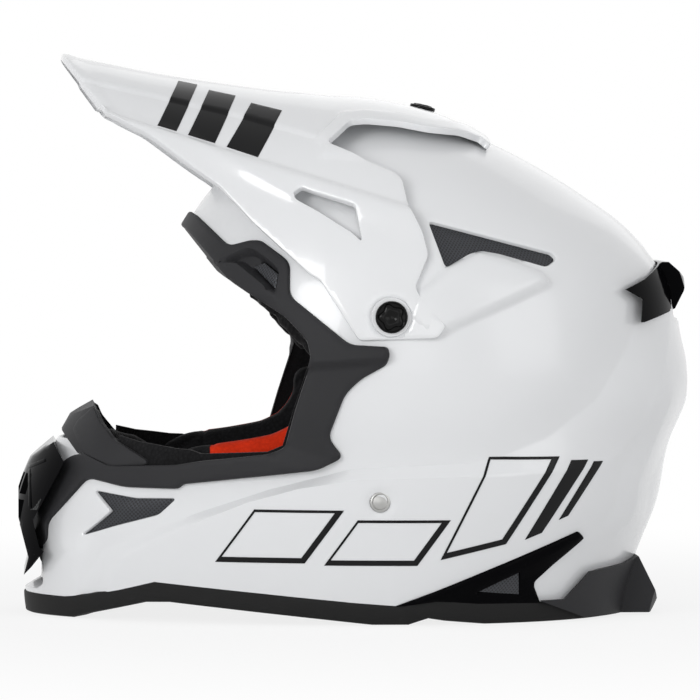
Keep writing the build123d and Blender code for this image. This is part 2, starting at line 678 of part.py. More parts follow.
save(comfort_liner(), "comfort_liner")
save_pair(cheek_core(), "cheek_core")
save_pair(cheek_pad(), "cheek_pad")
save(cheek_pad_snaps(), "cheek_pad_snaps")
save(neck_roll(), "neck_roll")
save_pair(strap_rivet(), "strap_rivet")
save_pair(strap_anchor(), "strap_anchor")
save(left_chin_strap(), "left_chin_strap")
save(right_chin_strap(), "right_chin_strap")
save(d_ring(RING_BARS_Y[0], RING_RISE), "upper_d_ring")
save(d_ring(RING_BARS_Y[1], 0), "lower_d_ring")
save(strap_snap(), "strap_snap")
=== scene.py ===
import json
from functools import partial

import bmesh
import bpy
import numpy as np
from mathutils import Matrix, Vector
from mathutils.geometry import delaunay_2d_cdt


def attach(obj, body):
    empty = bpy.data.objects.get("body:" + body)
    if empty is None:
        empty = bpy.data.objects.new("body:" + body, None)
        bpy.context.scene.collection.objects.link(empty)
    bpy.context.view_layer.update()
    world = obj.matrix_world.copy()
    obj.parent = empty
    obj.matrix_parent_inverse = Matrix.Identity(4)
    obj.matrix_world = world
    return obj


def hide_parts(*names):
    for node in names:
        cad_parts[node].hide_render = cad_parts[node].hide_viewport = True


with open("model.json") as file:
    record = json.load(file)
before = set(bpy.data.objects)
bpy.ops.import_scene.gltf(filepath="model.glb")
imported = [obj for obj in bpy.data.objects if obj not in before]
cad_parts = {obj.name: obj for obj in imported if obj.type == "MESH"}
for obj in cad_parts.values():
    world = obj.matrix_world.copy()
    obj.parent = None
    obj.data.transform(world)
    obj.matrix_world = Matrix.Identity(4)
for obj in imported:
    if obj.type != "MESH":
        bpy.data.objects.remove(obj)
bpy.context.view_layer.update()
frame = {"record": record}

bl_info = {
    "name": "Off-road Helmet Dressing",
    "version": (1, 0, 0),
    "blender": (4, 5, 0),
    "location": "View3D > Sidebar > Helmet",
    "description": "Dresses the helmet's solids with its shell, peak, trims, vents, padding and finishes",
    "category": "Object",
}

MM = 0.001
# Side outlines that run past the helmet end at this station.
FAR = 230.0
# The left side lies at negative y; a sheet's own side is 1 and its mirrored side -1.
SIDES = ((1, "left"), (-1, "right"))
# Points closer than this many metres are one point.
DOUBLES = 0.00001
# The right half's map lies this far beside the left half's on the flat sheet.
MAP_GAP = (700.0, 0)
# A sheet point this near the middle plane's line lies on it.
ON_FOLD = 0.02
# A place inside the helmet, which every outward normal points away from.
HEART = (0, 0, 110.0)

# Plan sections of the shell, neck edge to crown: height, front, rear, station of the widest point,
# half width, nose fullness, tail fullness (mm).
ROWS = np.array([
    (-60, -172.0, 143.0, 20.0, 100.0, 1.65, 2.30),
    (-30, -173.0, 144.0, 20.0, 102.5, 1.65, 2.30),
    (0, -173.8, 145.0, 20.0, 106.0, 1.65, 2.30),
    (30, -174.5, 151.0, 22.5, 113.5, 1.65, 2.30),
    (60, -171.5, 162.5, 25.5, 120.5, 1.65, 2.27),
    (90, -160.5, 168.5, 28.0, 125.0, 1.66, 2.20),
    (120, -141.0, 179.7, 30.0, 127.0, 1.73, 2.20),
    (150, -123.0, 175.0, 30.0, 127.0, 1.82, 2.20),
    (180, -105.5, 168.5, 29.5, 123.5, 1.93, 2.12),
    (205, -91.0, 149.0, 26.5, 114.0, 2.00, 2.06),
    (225, -77.5, 122.0, 21.5, 100.5, 2.00, 2.00),
    (240, -62.0, 97.5, 17.5, 84.5, 2.00, 2.00),
    (251, -45.0, 76.0, 13.5, 67.0, 2.00, 2.00),
    (259, -27.5, 55.0, 11.0, 49.0, 2.00, 2.00),
    (264, -11.0, 35.5, 9.0, 31.0, 2.00, 2.00),
    (266.5, 1.5, 17.0, 8.0, 9.0, 2.00, 2.00),
    (266.7, 7.5, 8.5, 8.0, 0.5, 2.00, 2.00),
])
# Arches of the peak: station, half width at the foot, top height, fullness.
ARCHES = np.array([
    (-165, 100, 302.5, 3.0),
    (-133, 102, 296.0, 3.0),
    (-105, 105, 290.5, 2.7),
    (-75, 108, 286.0, 2.45),
    (-45, 116, 282.0, 2.35),
    (-18, 125, 279.8, 2.3),
    (14, 131.5, 277.5, 2.3),
    (50, 134.5, 268.5, 2.3),
    (80, 134.5, 251.5, 2.3),
])
PEAK_FOOT = 140.0
# How softly the nose and the tail of a plan section pass the middle plane (e in the formula).
SOFT_NOSE = 0.15

# Side outlines, (x, z) in mm.
OPENING = [
    (-FAR, 207.5), (-90.6, 207), (-80.4, 194.6), (-67.5, 178.8), (-39.6, 160.6), (-28.6, 148.8),
    (-26.4, 140), (-35, 114), (-41, 93), (-50, 89.5), (-84, 85.5), (-97, 83), (-130.5, 81.2),
    (-143.3, 87), (-150, 97), (-FAR, 97),
]
TRIM = [
    (-FAR, 215), (-86, 215), (-68, 197), (-56.4, 200.3), (-51.8, 200.3), (-37.7, 189.6), (-38, 172),
    (-7.4, 147), (12, 146), (13.2, 142), (11.6, 136.6), (-2.3, 128.7), (-10, 121), (-18.7, 98.4),
    (-11, 88), (-24, 81.6), (-93.4, 73), (-96, 70.5), (-123.5, 70.5), (-142.5, 74.5), (-164, 49.7),
    (-163, 40.3), (-165.7, 35.8), (-168, 37), (-171.5, 51), (-154, 82.4), (-148.5, 86), (-143.6, 86.7),
    (-143.6, 97.2), (-FAR, 97.2),
]
BROW_VENT = [
    (-73.9, 187.5), (-64.9, 192.3), (-58.5, 195.3), (-54.7, 194.6), (-47, 189), (-42.4, 184.4),
    (-44.6, 173.2), (-62.7, 188),
]
CHIN_SIDE_VENT = [
    (-139.8, 68.0), (-118.8, 64.7), (-98.2, 65.1), (-107.4, 56.4), (-130.3, 49.7), (-146.8, 44.0),
    (-131.5, 57.5),
]
UPPER_SIDE_VENT = [
    (34.2, 211), (99.5, 194.1), (102.1, 191.3), (96.4, 187.2), (71.3, 194.4), (61.8, 196),
    (55.4, 194.5), (42.6, 187),
]
REAR_SIDE_MESH = [(60, 18), (80.9, 27.8), (81.3, 16)]
BASE_TOP = [
    (-FAR, 11.2), (-154, 10.6), (-142.4, 12.2), (-107.4, 21.9), (-84, 19.9), (-49.2, 16.9), (-6.6, 12),
    (18.9, 10), (38.8, 14.8), (93.2, 11), (FAR, 11),
]
BASE_BOTTOM = [
    (FAR, 0), (64, 0), (42.7, 2), (34.3, 3.4), (24, 0), (5, 0), (-37.7, 4.5), (-72.5, 8), (-100, 10.6),
    (-112, 10.2), (-142.4, 2.5), (-150, 0), (-FAR, 0),
]
PEAK_SIDE = [
    (-156.1, 300.6), (-133, 266.8), (-110.4, 256), (-73.8, 230.2), (-57.6, 211.2), (-29.1, 184),
    (-23.6, 181), (-3.5, 149.2), (37.3, 150.6), (42.1, 156.8), (27.6, 174.1), (26.3, 178.2),
    (33.4, 194.7), (30.9, 205.5), (23.8, 219.6), (21.3, 234.4), (17.4, 238.5), (-17.1, 253.0),
    (-4.7, 264.5), (3.9, 265.4), (21, 264), (38.2, 260.8), (55.4, 259.2), (67.3, 255.5), (70, 252.8),
    (72.5, 251.5), (72.5, 320), (-156.1, 320),
]
PEAK_SLOT = [
    (-36, 226), (-32, 229), (-24, 226), (-4.5, 220), (-1.5, 201.5), (-6, 206), (-23, 217), (-35, 223.5),
]
# Sculpted lines of the shell, (x, z): the hollow over the ledge, the ledge's outer edge, the raised pod
# behind the side screw and the rear fold.
BODY_LINE = [
    (-150, 6), (-149, 15.8), (-137.7, 36.1), (-110.5, 48.3), (-84.6, 58.6), (-49.5, 70.8), (-7.3, 81.8),
    (49.8, 84.5), (74.1, 88), (98.2, 97.5), (125, 117), (143.5, 145.3), (150, 166),
]
LEDGE_EDGE = [
    (-132, 6), (-131, 20), (-124, 33), (-104, 45), (-80, 56), (-59.4, 64.5), (-33.5, 72), (-2.3, 77),
    (34.1, 78), (73.2, 79), (94, 80), (113.3, 81.5), (127.7, 83.2), (136, 89), (145, 99), (156, 117),
    (163, 140), (166, 160),
]
POD = [
    (24, 172), (30.8, 178), (43.6, 188), (60.2, 195.5), (74.5, 192.4), (93.6, 185.4), (98.9, 179.6),
    (97, 176), (73.9, 165.9), (42.2, 152.1), (30, 150), (20, 160),
]
REAR_FOLD = [(163.5, 117.3), (154.4, 94), (144.9, 72.7), (143.8, 56.7), (128.9, 38.1)]
REAR_COVER = [
    (16, 10.2), (38, 18.5), (112.7, 48.6), (115.8, 45.2), (89.9, 22.4), (89.6, 20), (93.4, 10.4), (60, 11),
    (38, 13),
]
COVER_RIDGE = [(22, 12), (88, 33), (112, 45.5)]
GRILLE_WINDOW = [(-173.6, 78.2), (-166.4, 82.4), (-162.4, 76.5), (-169.8, 56.5), (-174.0, 56.0)]
GRILLE_BARS = [
    [(-174.6, 79.4), (-165.6, 84.0), (-165.2, 82.4), (-174.2, 77.6)],
    [(-174.8, 77.2), (-173.4, 77.8), (-173.2, 57.4), (-174.6, 57.0)],
]
GUARD_FLANK = [
    (-138.2, 110.6), (-135.6, 104.2), (-129.4, 95.4), (-114.3, 85.4), (-114.3, 82.6), (-130.5, 81.0),
    (-143.4, 86.5), (-147, 93), (-149.4, 98), (-146.5, 103),
]
BROW_MESH = [(-56.4, 187.0), (-51.0, 189.2), (-44.2, 183.5), (-45.6, 175.6)]
# The fabric skirt between the eyeport's edge and the cheek padding.
SKIRT = [
    (-127, 82.8), (-127, 97.5), (-116, 94.5), (-106, 93), (-97, 91.5), (-90, 91), (-84, 89), (-50, 90.5),
    (-42, 94), (-36, 114), (-27.4, 140), (-29.6, 148.6), (-34, 153), (-24, 153), (-12, 150), (-15, 129),
    (-24, 115), (-34, 93), (-44, 83), (-60, 77), (-98, 73), (-99, 60), (-127, 60),
]
# The orange panel of the cheek pads, and how far from the middle it begins.
PAD_PANEL = [
    (-79, 30), (-79, 92), (-76, 95.5), (-60, 98), (-47, 100.5), (-38.5, 104.5), (-32, 112), (-26, 121),
    (-12, 126), (30, 126), (30, 30),
]
PAD_PANEL_FROM = 77
# Creases of the peak: its front lip, the edge under the crown, the side's ridge and fold, the rear rim.
PEAK_LIP = [(-152.5, 300.6), (-141.6, 285.0), (-129.8, 268.6), (-127.5, 263.5)]
PEAK_CROWN = [(-150, 286.4), (-106.2, 276.9), (-60, 266), (-24.2, 255.6)]
PEAK_RIDGE = [(-130, 269.5), (-97.8, 259.5), (-56.9, 246.9), (-5.5, 230.7), (30, 219.6)]
PEAK_LOW_FOLD = [(-131.9, 267.8), (-89.7, 254.3), (-63, 239.6), (-37.4, 225)]
PEAK_RIM = [
    (-20.5, 257.2), (-8.6, 268.8), (3.9, 270.2), (21, 268.8), (38.2, 265.4), (55.4, 263.8), (70, 259.5),
]
# The peak's turning line, the strap rivets' centre, the rearmost plane and the top of the shell, the top
# screw's direction in x and z, and its slot in the peak: station, half its straight run and its radius.
TILT = (13.7, 161.5)
RIVET = (8.3, 65.1)
REAR_END = 179.2
CROWN = 266.8
TOP_AIM = (0.2185, 0.9758)
TOP_SLOT = (38, 8.6, 3.7)


# ---------------------------------------------------------------- outlines
def smooth_rows(rows, fine):
    """Rows read at fractional places: a cubic through each four neighbours, column by column."""
    padded = np.vstack([2 * rows[0] - rows[1], rows, 2 * rows[-1] - rows[-2]])
    i = np.clip(np.floor(fine).astype(int), 0, len(rows) - 2)
    f = (fine - i)[:, None]
    a, b, c, d = (padded[i + k] for k in range(4))
    bend, twist = 2 * a - 5 * b + 4 * c - d, 3 * b - a - 3 * c + d
    return 0.5 * (2 * b + (c - a) * f + bend * f ** 2 + twist * f ** 3)


def run_distance(points, starts, runs):
    """Distance of each point to the nearest of many straight runs, 200 of them at a time."""
    near = np.full(len(points), 1e9)
    for first in range(0, len(starts), 200):
        p, run = starts[first:first + 200], runs[first:first + 200]
        rel = points[:, None] - p[None]
        k = np.clip((rel * run).sum(2) / np.maximum((run ** 2).sum(1), 1e-12), 0, 1)
        near = np.minimum(near, np.sqrt(((rel - k[..., None] * run) ** 2).sum(2)).min(1))
    return near


def segment_tests(points, loop):
    """Distance of each point to a closed loop, and whether it lies inside by the even-odd rule."""
    a = np.asarray(loop, float)
    b = np.roll(a, -1, axis=0)
    crossings = np.zeros(len(points), int)
    for first in range(0, len(a), 200):
        p, q = a[first:first + 200], b[first:first + 200]
        run = q - p
        above = (p[:, 1] > points[:, None, 1]) != (q[:, 1] > points[:, None, 1])
        slope = np.where(np.abs(run[:, 1]) < 1e-12, 1e-12, run[:, 1])
        at = p[:, 0] + (points[:, None, 1] - p[:, 1]) * run[:, 0] / slope
        crossings += (above & (points[:, None, 0] < at)).sum(1)
    return run_distance(points, a, b - a), crossings % 2 == 1


def depth_in(points, loop):
    """Distance of each point to a closed loop, negative outside it."""
    near, inside = segment_tests(points, loop)
    return np.where(inside, near, -near)


def line_side(points, line):
    """Distance of each point to an open line, negative on its right-hand side."""
    a = np.asarray(line, float)
    p, run = a[:-1], np.diff(a, axis=0)
    rel = points[:, None, :] - p[None]
    k = np.clip((rel * run).sum(2) / (run ** 2).sum(1), 0, 1)
    gap = rel - k[..., None] * run
    far = np.sqrt((gap ** 2).sum(2))
    pick = far.argmin(1)
    rows = np.arange(len(points))
    cross = run[pick, 0] * rel[rows, pick, 1] - run[pick, 1] * rel[rows, pick, 0]
    return far[rows, pick] * np.where(cross < 0, -1.0, 1.0)


def sideways(along):
    """Unit vectors square to the given ones, on their left."""
    return np.stack([-along[:, 1], along[:, 0]], 1) / np.maximum(np.hypot(*along.T), 1e-6)[:, None]


def resampled(loop, step):
    """A closed loop with points no further apart than the step."""
    a = np.asarray(loop, float)
    b = np.roll(a, -1, axis=0)
    parts = []
    for p, q in zip(a, b):
        n = max(1, int(np.ceil(np.hypot(*(q - p)) / step)))
        parts.append(p + (q - p) * (np.arange(n) / n)[:, None])
    return np.vstack(parts)


def along_line(line, step):
    """An open line with points no further apart than about the step."""
    a = np.asarray(line, float)
    run = np.concatenate([[0], np.cumsum(np.hypot(*np.diff(a, axis=0).T))])
    at = np.linspace(0, run[-1], max(2, int(run[-1] / step)))
    return np.stack([np.interp(at, run, a[:, 0]), np.interp(at, run, a[:, 1])], 1)


def stepped(at, way, far):
    """The place this far from another in a direction."""
    return at + way / np.hypot(*way) * far


def arc(p, corner, q, count):
    """A quadratic arc from p to q: (1 - k)^2 p + 2 k (1 - k) corner + k^2 q, with k from 0 to 1."""
    k = np.linspace(0, 1, count)[:, None]
    return (1 - k) ** 2 * p + 2 * k * (1 - k) * corner + k ** 2 * q


def rounded(loop, radius, keep_far=True):
    """A closed loop whose corners are eased by quadratic arcs of about the radius."""
    a = np.asarray(loop, float)
    out = []
    for before, at, after in zip(np.roll(a, 1, axis=0), a, np.roll(a, -1, axis=0)):
        if keep_far and abs(at[0]) == FAR:
            out.append(at[None])
            continue
        back, ahead = before - at, after - at
        cut = min(radius, 0.45 * np.hypot(*back), 0.45 * np.hypot(*ahead))
        out.append(arc(stepped(at, back, cut), at, stepped(at, ahead, cut), 6))
    return np.vstack(out)


def smoothed_path(points, step, radius):
    """A path in a plane with its corners eased by quadratic arcs, at even steps."""
    a = np.asarray(points, float)
    out = [a[:1]]
    for before, at, after in zip(a[:-2], a[1:-1], a[2:]):
        back, ahead = before - at, after - at
        p, q = (stepped(at, way, min(radius, 0.45 * np.hypot(*way))) for way in (back, ahead))
        out.append(arc(p, at, q, 8))
    out.append(a[-1:])
    return along_line(np.vstack(out), step)


def grown(loop, by):
    """A closed loop moved outwards by this many mm, corner by corner; inwards for a negative distance."""
    a = np.asarray(loop, float)
    before, after = a - np.roll(a, 1, axis=0), np.roll(a, -1, axis=0) - a
    p = before / np.hypot(*before.T)[:, None]
    q = after / np.hypot(*after.T)[:, None]
    area = (a[:, 0] * np.roll(a[:, 1], -1) - a[:, 1] * np.roll(a[:, 0], -1)).sum()
    n = np.stack([p[:, 1] + q[:, 1], -p[:, 0] - q[:, 0]], 1) * np.sign(area)
    return a + n * by / np.maximum(1 + (p * q).sum(1), 0.35)[:, None]


# ---------------------------------------------------------------- skins
class ShellSkin:
    """The helmet's outer form as a map from a flat sheet (run along the side, run up the side) to space.

    Runs along the side are measured at one height, and past the middle planes the sheet turns on by its
    turn radius. The form may be grown or shrunk by an offset: each axis is scaled about the centre by
    1 + offset / reach.
    At height z the half width is w * sqrt(1 - g(r)), where r runs 0 to 1 from the widest station to
    the front or the rear, and g(r) = ((r^2 + e^2)^(p/2) - e^p) / ((1 + e^2)^(p/2) - e^p).
    """

    centre = np.array([0.0, 0.0, 117.0])
    reach = np.array([180.0, 127.0, 150.0])
    measured_at = 110
    turn_radius = 140.0

    def __init__(self, offset=0.0):
        self.scale = 1 + offset / self.reach
        fine = np.linspace(0, len(ROWS) - 1, 2401)
        self.table = smooth_rows(ROWS, fine)
        self.table[:, 4] = np.maximum(self.table[:, 4], 0.2)
        self.table[:, 0] = np.maximum.accumulate(self.table[:, 0] + np.linspace(0, 1e-4, len(fine)))
        rise = np.hypot(np.diff(self.table[:, 0]), np.diff(self.table[:, 4]))
        self.up = np.concatenate([[0], np.cumsum(rise)])
        turn = np.linspace(0, np.pi, 721)
        level = np.interp(self.measured_at, self.table[:, 0], self.up)
        plan = self.plan(turn, np.full(len(turn), level))
        run = np.hypot(np.diff(plan[:, 0]), np.diff(plan[:, 1]))
        self.turns, self.along = turn, np.concatenate([[0], np.cumsum(run)])
        self.width = self.along[-1]

    def row(self, up):
        """The plan section at a place up the sheet: height, front, rear, station, half width, fullnesses."""
        return [np.interp(up, self.up, self.table[:, k]) for k in range(7)]

    def plan(self, turn, up):
        """Places on the plan sections, from their turn (0 at the front, half a turn at the rear)."""
        z, front, rear, mid, half, nose, tail = self.row(up)
        c = np.cos(turn)
        p = np.where(c > 0, nose, tail)
        base = SOFT_NOSE ** p
        whole = (1 + SOFT_NOSE ** 2) ** (p / 2) - base
        r = np.sqrt(np.maximum((c ** 2 * whole + base) ** (2 / p) - SOFT_NOSE ** 2, 0))
        x = mid + (np.where(c > 0, front, rear) - mid) * r
        return np.stack([x, -half * np.sin(turn), z], 1)

    def lay(self, xz):
        """Side-view places to sheet places."""
        centre = self.centre[[0, 2]]
        xz = centre + (np.asarray(xz, float) - centre) / self.scale[[0, 2]]
        up = np.interp(xz[:, 1], self.table[:, 0], self.up)
        _, front, rear, mid, _, nose, tail = self.row(up)
        ahead = xz[:, 0] < mid
        p = np.where(ahead, nose, tail)
        r = np.clip(np.abs(xz[:, 0] - mid) / np.abs(np.where(ahead, front, rear) - mid), 0, 1)
        base = SOFT_NOSE ** p
        g = ((r ** 2 + SOFT_NOSE ** 2) ** (p / 2) - base) / ((1 + SOFT_NOSE ** 2) ** (p / 2) - base)
        c = np.sqrt(np.clip(g, 0, 1)) * np.where(ahead, 1, -1)
        return np.stack([np.interp(np.arccos(c), self.turns, self.along), up], 1)

    def base(self, flat):
        """Sheet places to places in space."""
        run, beyond = flat[:, 0], flat[:, 0] - self.width
        turn = np.interp(run, self.along, self.turns)
        turn = np.where(run < 0, run / self.turn_radius, turn)
        turn = np.where(run > self.width, np.pi + beyond / self.turn_radius, turn)
        place = self.plan(turn, np.clip(flat[:, 1], 0, self.up[-1]))
        return self.centre + (place - self.centre) * self.scale


class PeakSkin:
    """The peak's arched form as a map from a flat sheet (station, run round the arch) to space.

    At a station the arch is y = -B cos(a)^(2/n), z = foot + (T - foot) sin(a)^(2/n). Runs round the arch
    are measured at one station, and past the middle the sheet turns on by its turn radius.
    """

    measured_at = -40.0
    turn_radius = 130.0

    def __init__(self):
        fine = np.linspace(0, len(ARCHES) - 1, 1601)
        self.table = smooth_rows(ARCHES, fine)
        self.angles = np.linspace(0, np.pi / 2, 721)
        arch = self.plan(np.full(len(self.angles), self.measured_at), self.angles)
        run = np.hypot(np.diff(arch[:, 1]), np.diff(arch[:, 2]))
        self.round = np.concatenate([[0], np.cumsum(run)])
        self.width = self.round[-1]

    def row(self, x):
        """The arch at a station: half width at the foot, top height, fullness."""
        return [np.interp(x, self.table[:, 0], self.table[:, k]) for k in (1, 2, 3)]

    def plan(self, x, angle):
        """Places on the arches, from their station and angle."""
        half, top, n = self.row(x)
        c, s = np.cos(angle), np.sin(angle)
        y = -half * np.sign(c) * np.abs(c) ** (2 / n)
        z = PEAK_FOOT + (top - PEAK_FOOT) * np.abs(s) ** (2 / n)
        return np.stack([x, y, z], 1)

    def lay(self, xz):
        """Side-view places to sheet places."""
        xz = np.asarray(xz, float)
        _, top, n = self.row(xz[:, 0])
        k = np.clip((xz[:, 1] - PEAK_FOOT) / (top - PEAK_FOOT), 0, 1)
        angle = np.arcsin(np.clip(k ** (n / 2), 0, 1))
        return np.stack([xz[:, 0], np.interp(angle, self.angles, self.round)], 1)

    def base(self, flat):
        """Sheet places to places in space."""
        beyond = flat[:, 1] - self.width
        angle = np.interp(flat[:, 1], self.round, self.angles)
        angle = np.where(flat[:, 1] > self.width, np.pi / 2 + beyond / self.turn_radius, angle)
        return self.plan(flat[:, 0], angle)


SHELL = ShellSkin()
PEAK = PeakSkin()


def normals(skin, flat):
    """Outward unit normals, from small steps both ways on the sheet."""
    e = 0.4
    du = skin.base(flat + (e, 0)) - skin.base(flat - (e, 0))
    dv = skin.base(flat + (0, e)) - skin.base(flat - (0, e))
    n = np.cross(du, dv)
    n /= np.maximum(np.linalg.norm(n, axis=1), 1e-9)[:, None]
    base = skin.base(flat)
    out = base - np.array(HEART)
    return n * np.where((n * out).sum(1) < 0, -1.0, 1.0)[:, None]


def fold_places(skin):
    """The sheet's axis and places at which the left and right halves meet."""
    return (1, (skin.width,)) if isinstance(skin, PeakSkin) else (0, (0.0, skin.width))


# ---------------------------------------------------------------- moulded sheets
def placed(name, data):
    """An object of this name in the scene, at the origin."""
    thing = bpy.data.objects.new(name, data)
    bpy.context.scene.collection.objects.link(thing)
    return thing


def add_mesh(name, points, faces, uv=None):
    """A smooth mesh from points in mm, faces as an array or lists, and the points' sheet places in mm."""
    mesh = bpy.data.meshes.new(name)
    lists = faces if isinstance(faces, list) else faces.tolist()
    mesh.from_pydata((np.asarray(points) * MM).tolist(), [], lists)
    mesh.polygons.foreach_set("use_smooth", np.ones(len(mesh.polygons), bool))
    if uv is not None:
        layer = mesh.uv_layers.new(name="sheet")
        loops = np.empty(len(mesh.loops), int)
        mesh.loops.foreach_get("vertex_index", loops)
        layer.data.foreach_set("uv", (np.asarray(uv, float) * MM)[loops].ravel())
    mesh.update()
    return placed(name, mesh)


def inside_all(points, loops, kept):
    """Which points lie in a kept loop and in no cut loop, and their distance to the loops."""
    near = np.full(len(points), 1e9)
    good = np.zeros(len(points), bool)
    for k, loop in enumerate(loops):
        d, inside = segment_tests(points, loop)
        near = np.minimum(near, d)
        good = good | inside if k < kept else good & ~inside
    return good, near


def free_edge_distance(points, loops, skin):
    """Distance to the loops, leaving out their runs along the fold."""
    near = np.full(len(points), 1e9)
    axis, folds = fold_places(skin)
    for loop in loops:
        ahead = np.roll(loop, -1, axis=0)
        on_fold = np.zeros(len(loop), bool)
        for at in folds:
            on_fold |= np.maximum(np.abs(loop[:, axis] - at), np.abs(ahead[:, axis] - at)) < ON_FOLD
        near = np.minimum(near, run_distance(points, loop[~on_fold], (ahead - loop)[~on_fold]))
    return near


def sheet_cloud(skin, loops, kept, step, rim, laid):
    """Grid points inside the loops, and rows of points beside the loops and the laid lines."""
    edges = np.vstack(loops)
    low, high = edges.min(0), edges.max(0)
    gx, gy = np.meshgrid(np.arange(low[0], high[0], step), np.arange(low[1], high[1], step * 0.87))
    gx = gx + (np.arange(gx.shape[0]) % 2)[:, None] * step / 2
    beside = []
    for loop in loops:
        fine = resampled(loop, 1.6)
        side = sideways(np.roll(fine, -1, axis=0) - np.roll(fine, 1, axis=0))
        beside += [fine + side * d for d in (-0.35 * rim, 0.35 * rim, -rim, rim)]
    grid = np.stack([gx.ravel(), gy.ravel()], 1)
    picks = []
    for cloud, clear in [(np.vstack(beside), 0.3 * rim), (grid, 1.35 * rim + 0.3)]:
        good, near = inside_all(cloud, loops, kept)
        picks.append(cloud[good & (near > clear)])
    inner = np.vstack(picks)
    for line in laid:
        inner = inner[np.abs(line_side(inner, line)) > 0.62 * step]
        side = sideways(np.gradient(line, axis=0))
        for d in (-0.45 * step, 0.45 * step):
            row = line + side * d
            good, near = inside_all(row, loops, kept)
            inner = np.vstack([inner, row[good & (near > 1.0)]])
    axis, folds = fold_places(skin)
    for at in folds:
        inner = inner[np.abs(inner[:, axis] - at) > 0.8]
    return inner


def used_only(faces, tables):
    """The faces renumbered to the points that they use, and those points' rows of each table."""
    used = np.unique(faces)
    number = np.zeros(len(tables[0]), int)
    number[used] = np.arange(len(used))
    return number[faces], [table[used] for table in tables]


def sheet_triangles(skin, keep, cut, flat_cut, step, rim, lines):
    """Triangles of the flat sheet inside the kept outlines and outside the cut ones.

    The loops and the lines are edges that the triangles keep.
    """
    loops = [skin.lay(resampled(loop, 1.5)) for loop in (*keep, *cut)]
    loops += [np.asarray(loop, float) for loop in flat_cut]
    loops = [loop[np.r_[True, np.hypot(*np.diff(loop, axis=0).T) > 0.05]] for loop in loops]
    loops = [resampled(loop, 2.0) for loop in loops]
    laid = [skin.lay(along_line(line, 2.0)) for line in lines]
    parts = [sheet_cloud(skin, loops, len(keep), step, rim, laid)]
    count, edges = len(parts[0]), []
    for loop in loops:
        n = len(loop)
        edges += [(count + i, count + (i + 1) % n) for i in range(n)]
        parts.append(loop)
        count += n
    for line in laid:
        good, near = inside_all(line, loops, len(keep))
        good &= near > 1.25 * rim + 0.4
        parts.append(line[good])
        index = np.cumsum(good) - 1 + count
        both = good[:-1] & good[1:]
        edges += list(zip(index[:-1][both].tolist(), index[1:][both].tolist()))
        count += int(good.sum())
    cloud = [Vector(p) for p in np.vstack(parts).tolist()]
    flat, _, faces = delaunay_2d_cdt(cloud, edges, [], 0, 1e-4)[:3]
    flat = np.array([p[:] for p in flat])
    faces = np.array([f[:3] for f in faces])
    good, _ = inside_all(flat[faces].mean(1), loops, len(keep))
    area = np.cross(flat[faces[:, 1]] - flat[faces[:, 0]], flat[faces[:, 2]] - flat[faces[:, 0]])
    faces, (flat,) = used_only(faces[good & (np.abs(area) > 1e-5)], [flat])
    return flat, faces, loops


def mirrored(place, inside, flat, faces, middle, sides):
    """The sheet's two faces, their map and triangles for the asked sides, sharing the middle points."""
    halves = []
    if 1 in sides:
        halves.append((place, inside, flat, faces))
    if -1 in sides:
        right = np.arange(len(flat))
        if halves:
            right += len(flat)
            right[middle] = np.flatnonzero(middle)
        flipped = (1, -1, 1)
        halves.append((place * flipped, inside * flipped, flat + MAP_GAP, right[faces][:, ::-1]))
    return (np.vstack(part) for part in zip(*halves))


def walled(name, points, inner, maps, faces):
    """A piece of an outer and an inner face, joined by a strip along the free edges of the outer one."""
    faces, (points, inner, maps) = used_only(faces, [points, inner, maps])
    edges = np.vstack([faces[:, [0, 1]], faces[:, [1, 2]], faces[:, [2, 0]]])
    first, times = np.unique(np.sort(edges, 1), axis=0, return_index=True, return_counts=True)[1:]
    a, b = edges[first[times == 1]].T
    n, outer = len(points), len(faces)
    strip = [np.stack([b, a, a + n], 1), np.stack([b, a + n, b + n], 1)]
    faces = np.vstack([faces, *strip, faces[:, ::-1] + n])
    thing = add_mesh(name, np.vstack([points, inner]), faces, np.vstack([maps, maps]))
    mesh = thing.data
    mesh.materials.append(None)
    mesh.materials.append(None)
    mesh.polygons.foreach_set("material_index", (np.arange(len(faces)) >= len(faces) - outer).astype(int))
    mesh.set_sharp_from_angle(angle=np.radians(38))
    return thing


def panel(
    name, skin, keep, cut=(), flat_cut=(), step=3.0, height=None, rim=1.2, thick=3.0, sides=(1, -1), lines=()
):
    """A moulded sheet on a skin.

    The side outlines are laid on the flat sheet, the sheet is triangulated to them, and each point
    rises along the skin's normal by height(x, y, z) less a quarter-round of the rim's radius at the
    edges: rim * (1 - sqrt(1 - (1 - d / rim)^2)). The inner side lies the wall's thickness lower along
    the same normals. The right half mirrors the left, and the two are joined along the middle.
    """
    flat, faces, loops = sheet_triangles(skin, keep, cut, flat_cut, step, rim, lines)
    base, out = skin.base(flat), normals(skin, flat)
    lift = np.zeros(len(flat)) if height is None else height(base[:, 0], base[:, 1], base[:, 2])
    near = np.clip(free_edge_distance(flat, loops, skin) / rim, 0, 1)
    lift = lift - rim * (1 - np.sqrt(np.maximum(1 - (1 - near) ** 2, 0)))
    place = base + out * lift[:, None]
    axis, folds = fold_places(skin)
    middle = np.any([np.abs(flat[:, axis] - at) < ON_FOLD for at in folds], axis=0)
    place[middle, 1] = 0
    across = np.cross(place[faces[:, 1]] - place[faces[:, 0]], place[faces[:, 2]] - place[faces[:, 0]])
    inward = (across * out[faces[:, 0]]).sum(1) < 0
    faces = np.where(inward[:, None], faces[:, ::-1], faces)
    inside = place - out * thick
    inside[middle, 1] = 0
    return walled(name, *mirrored(place, inside, flat, faces, middle, sides))


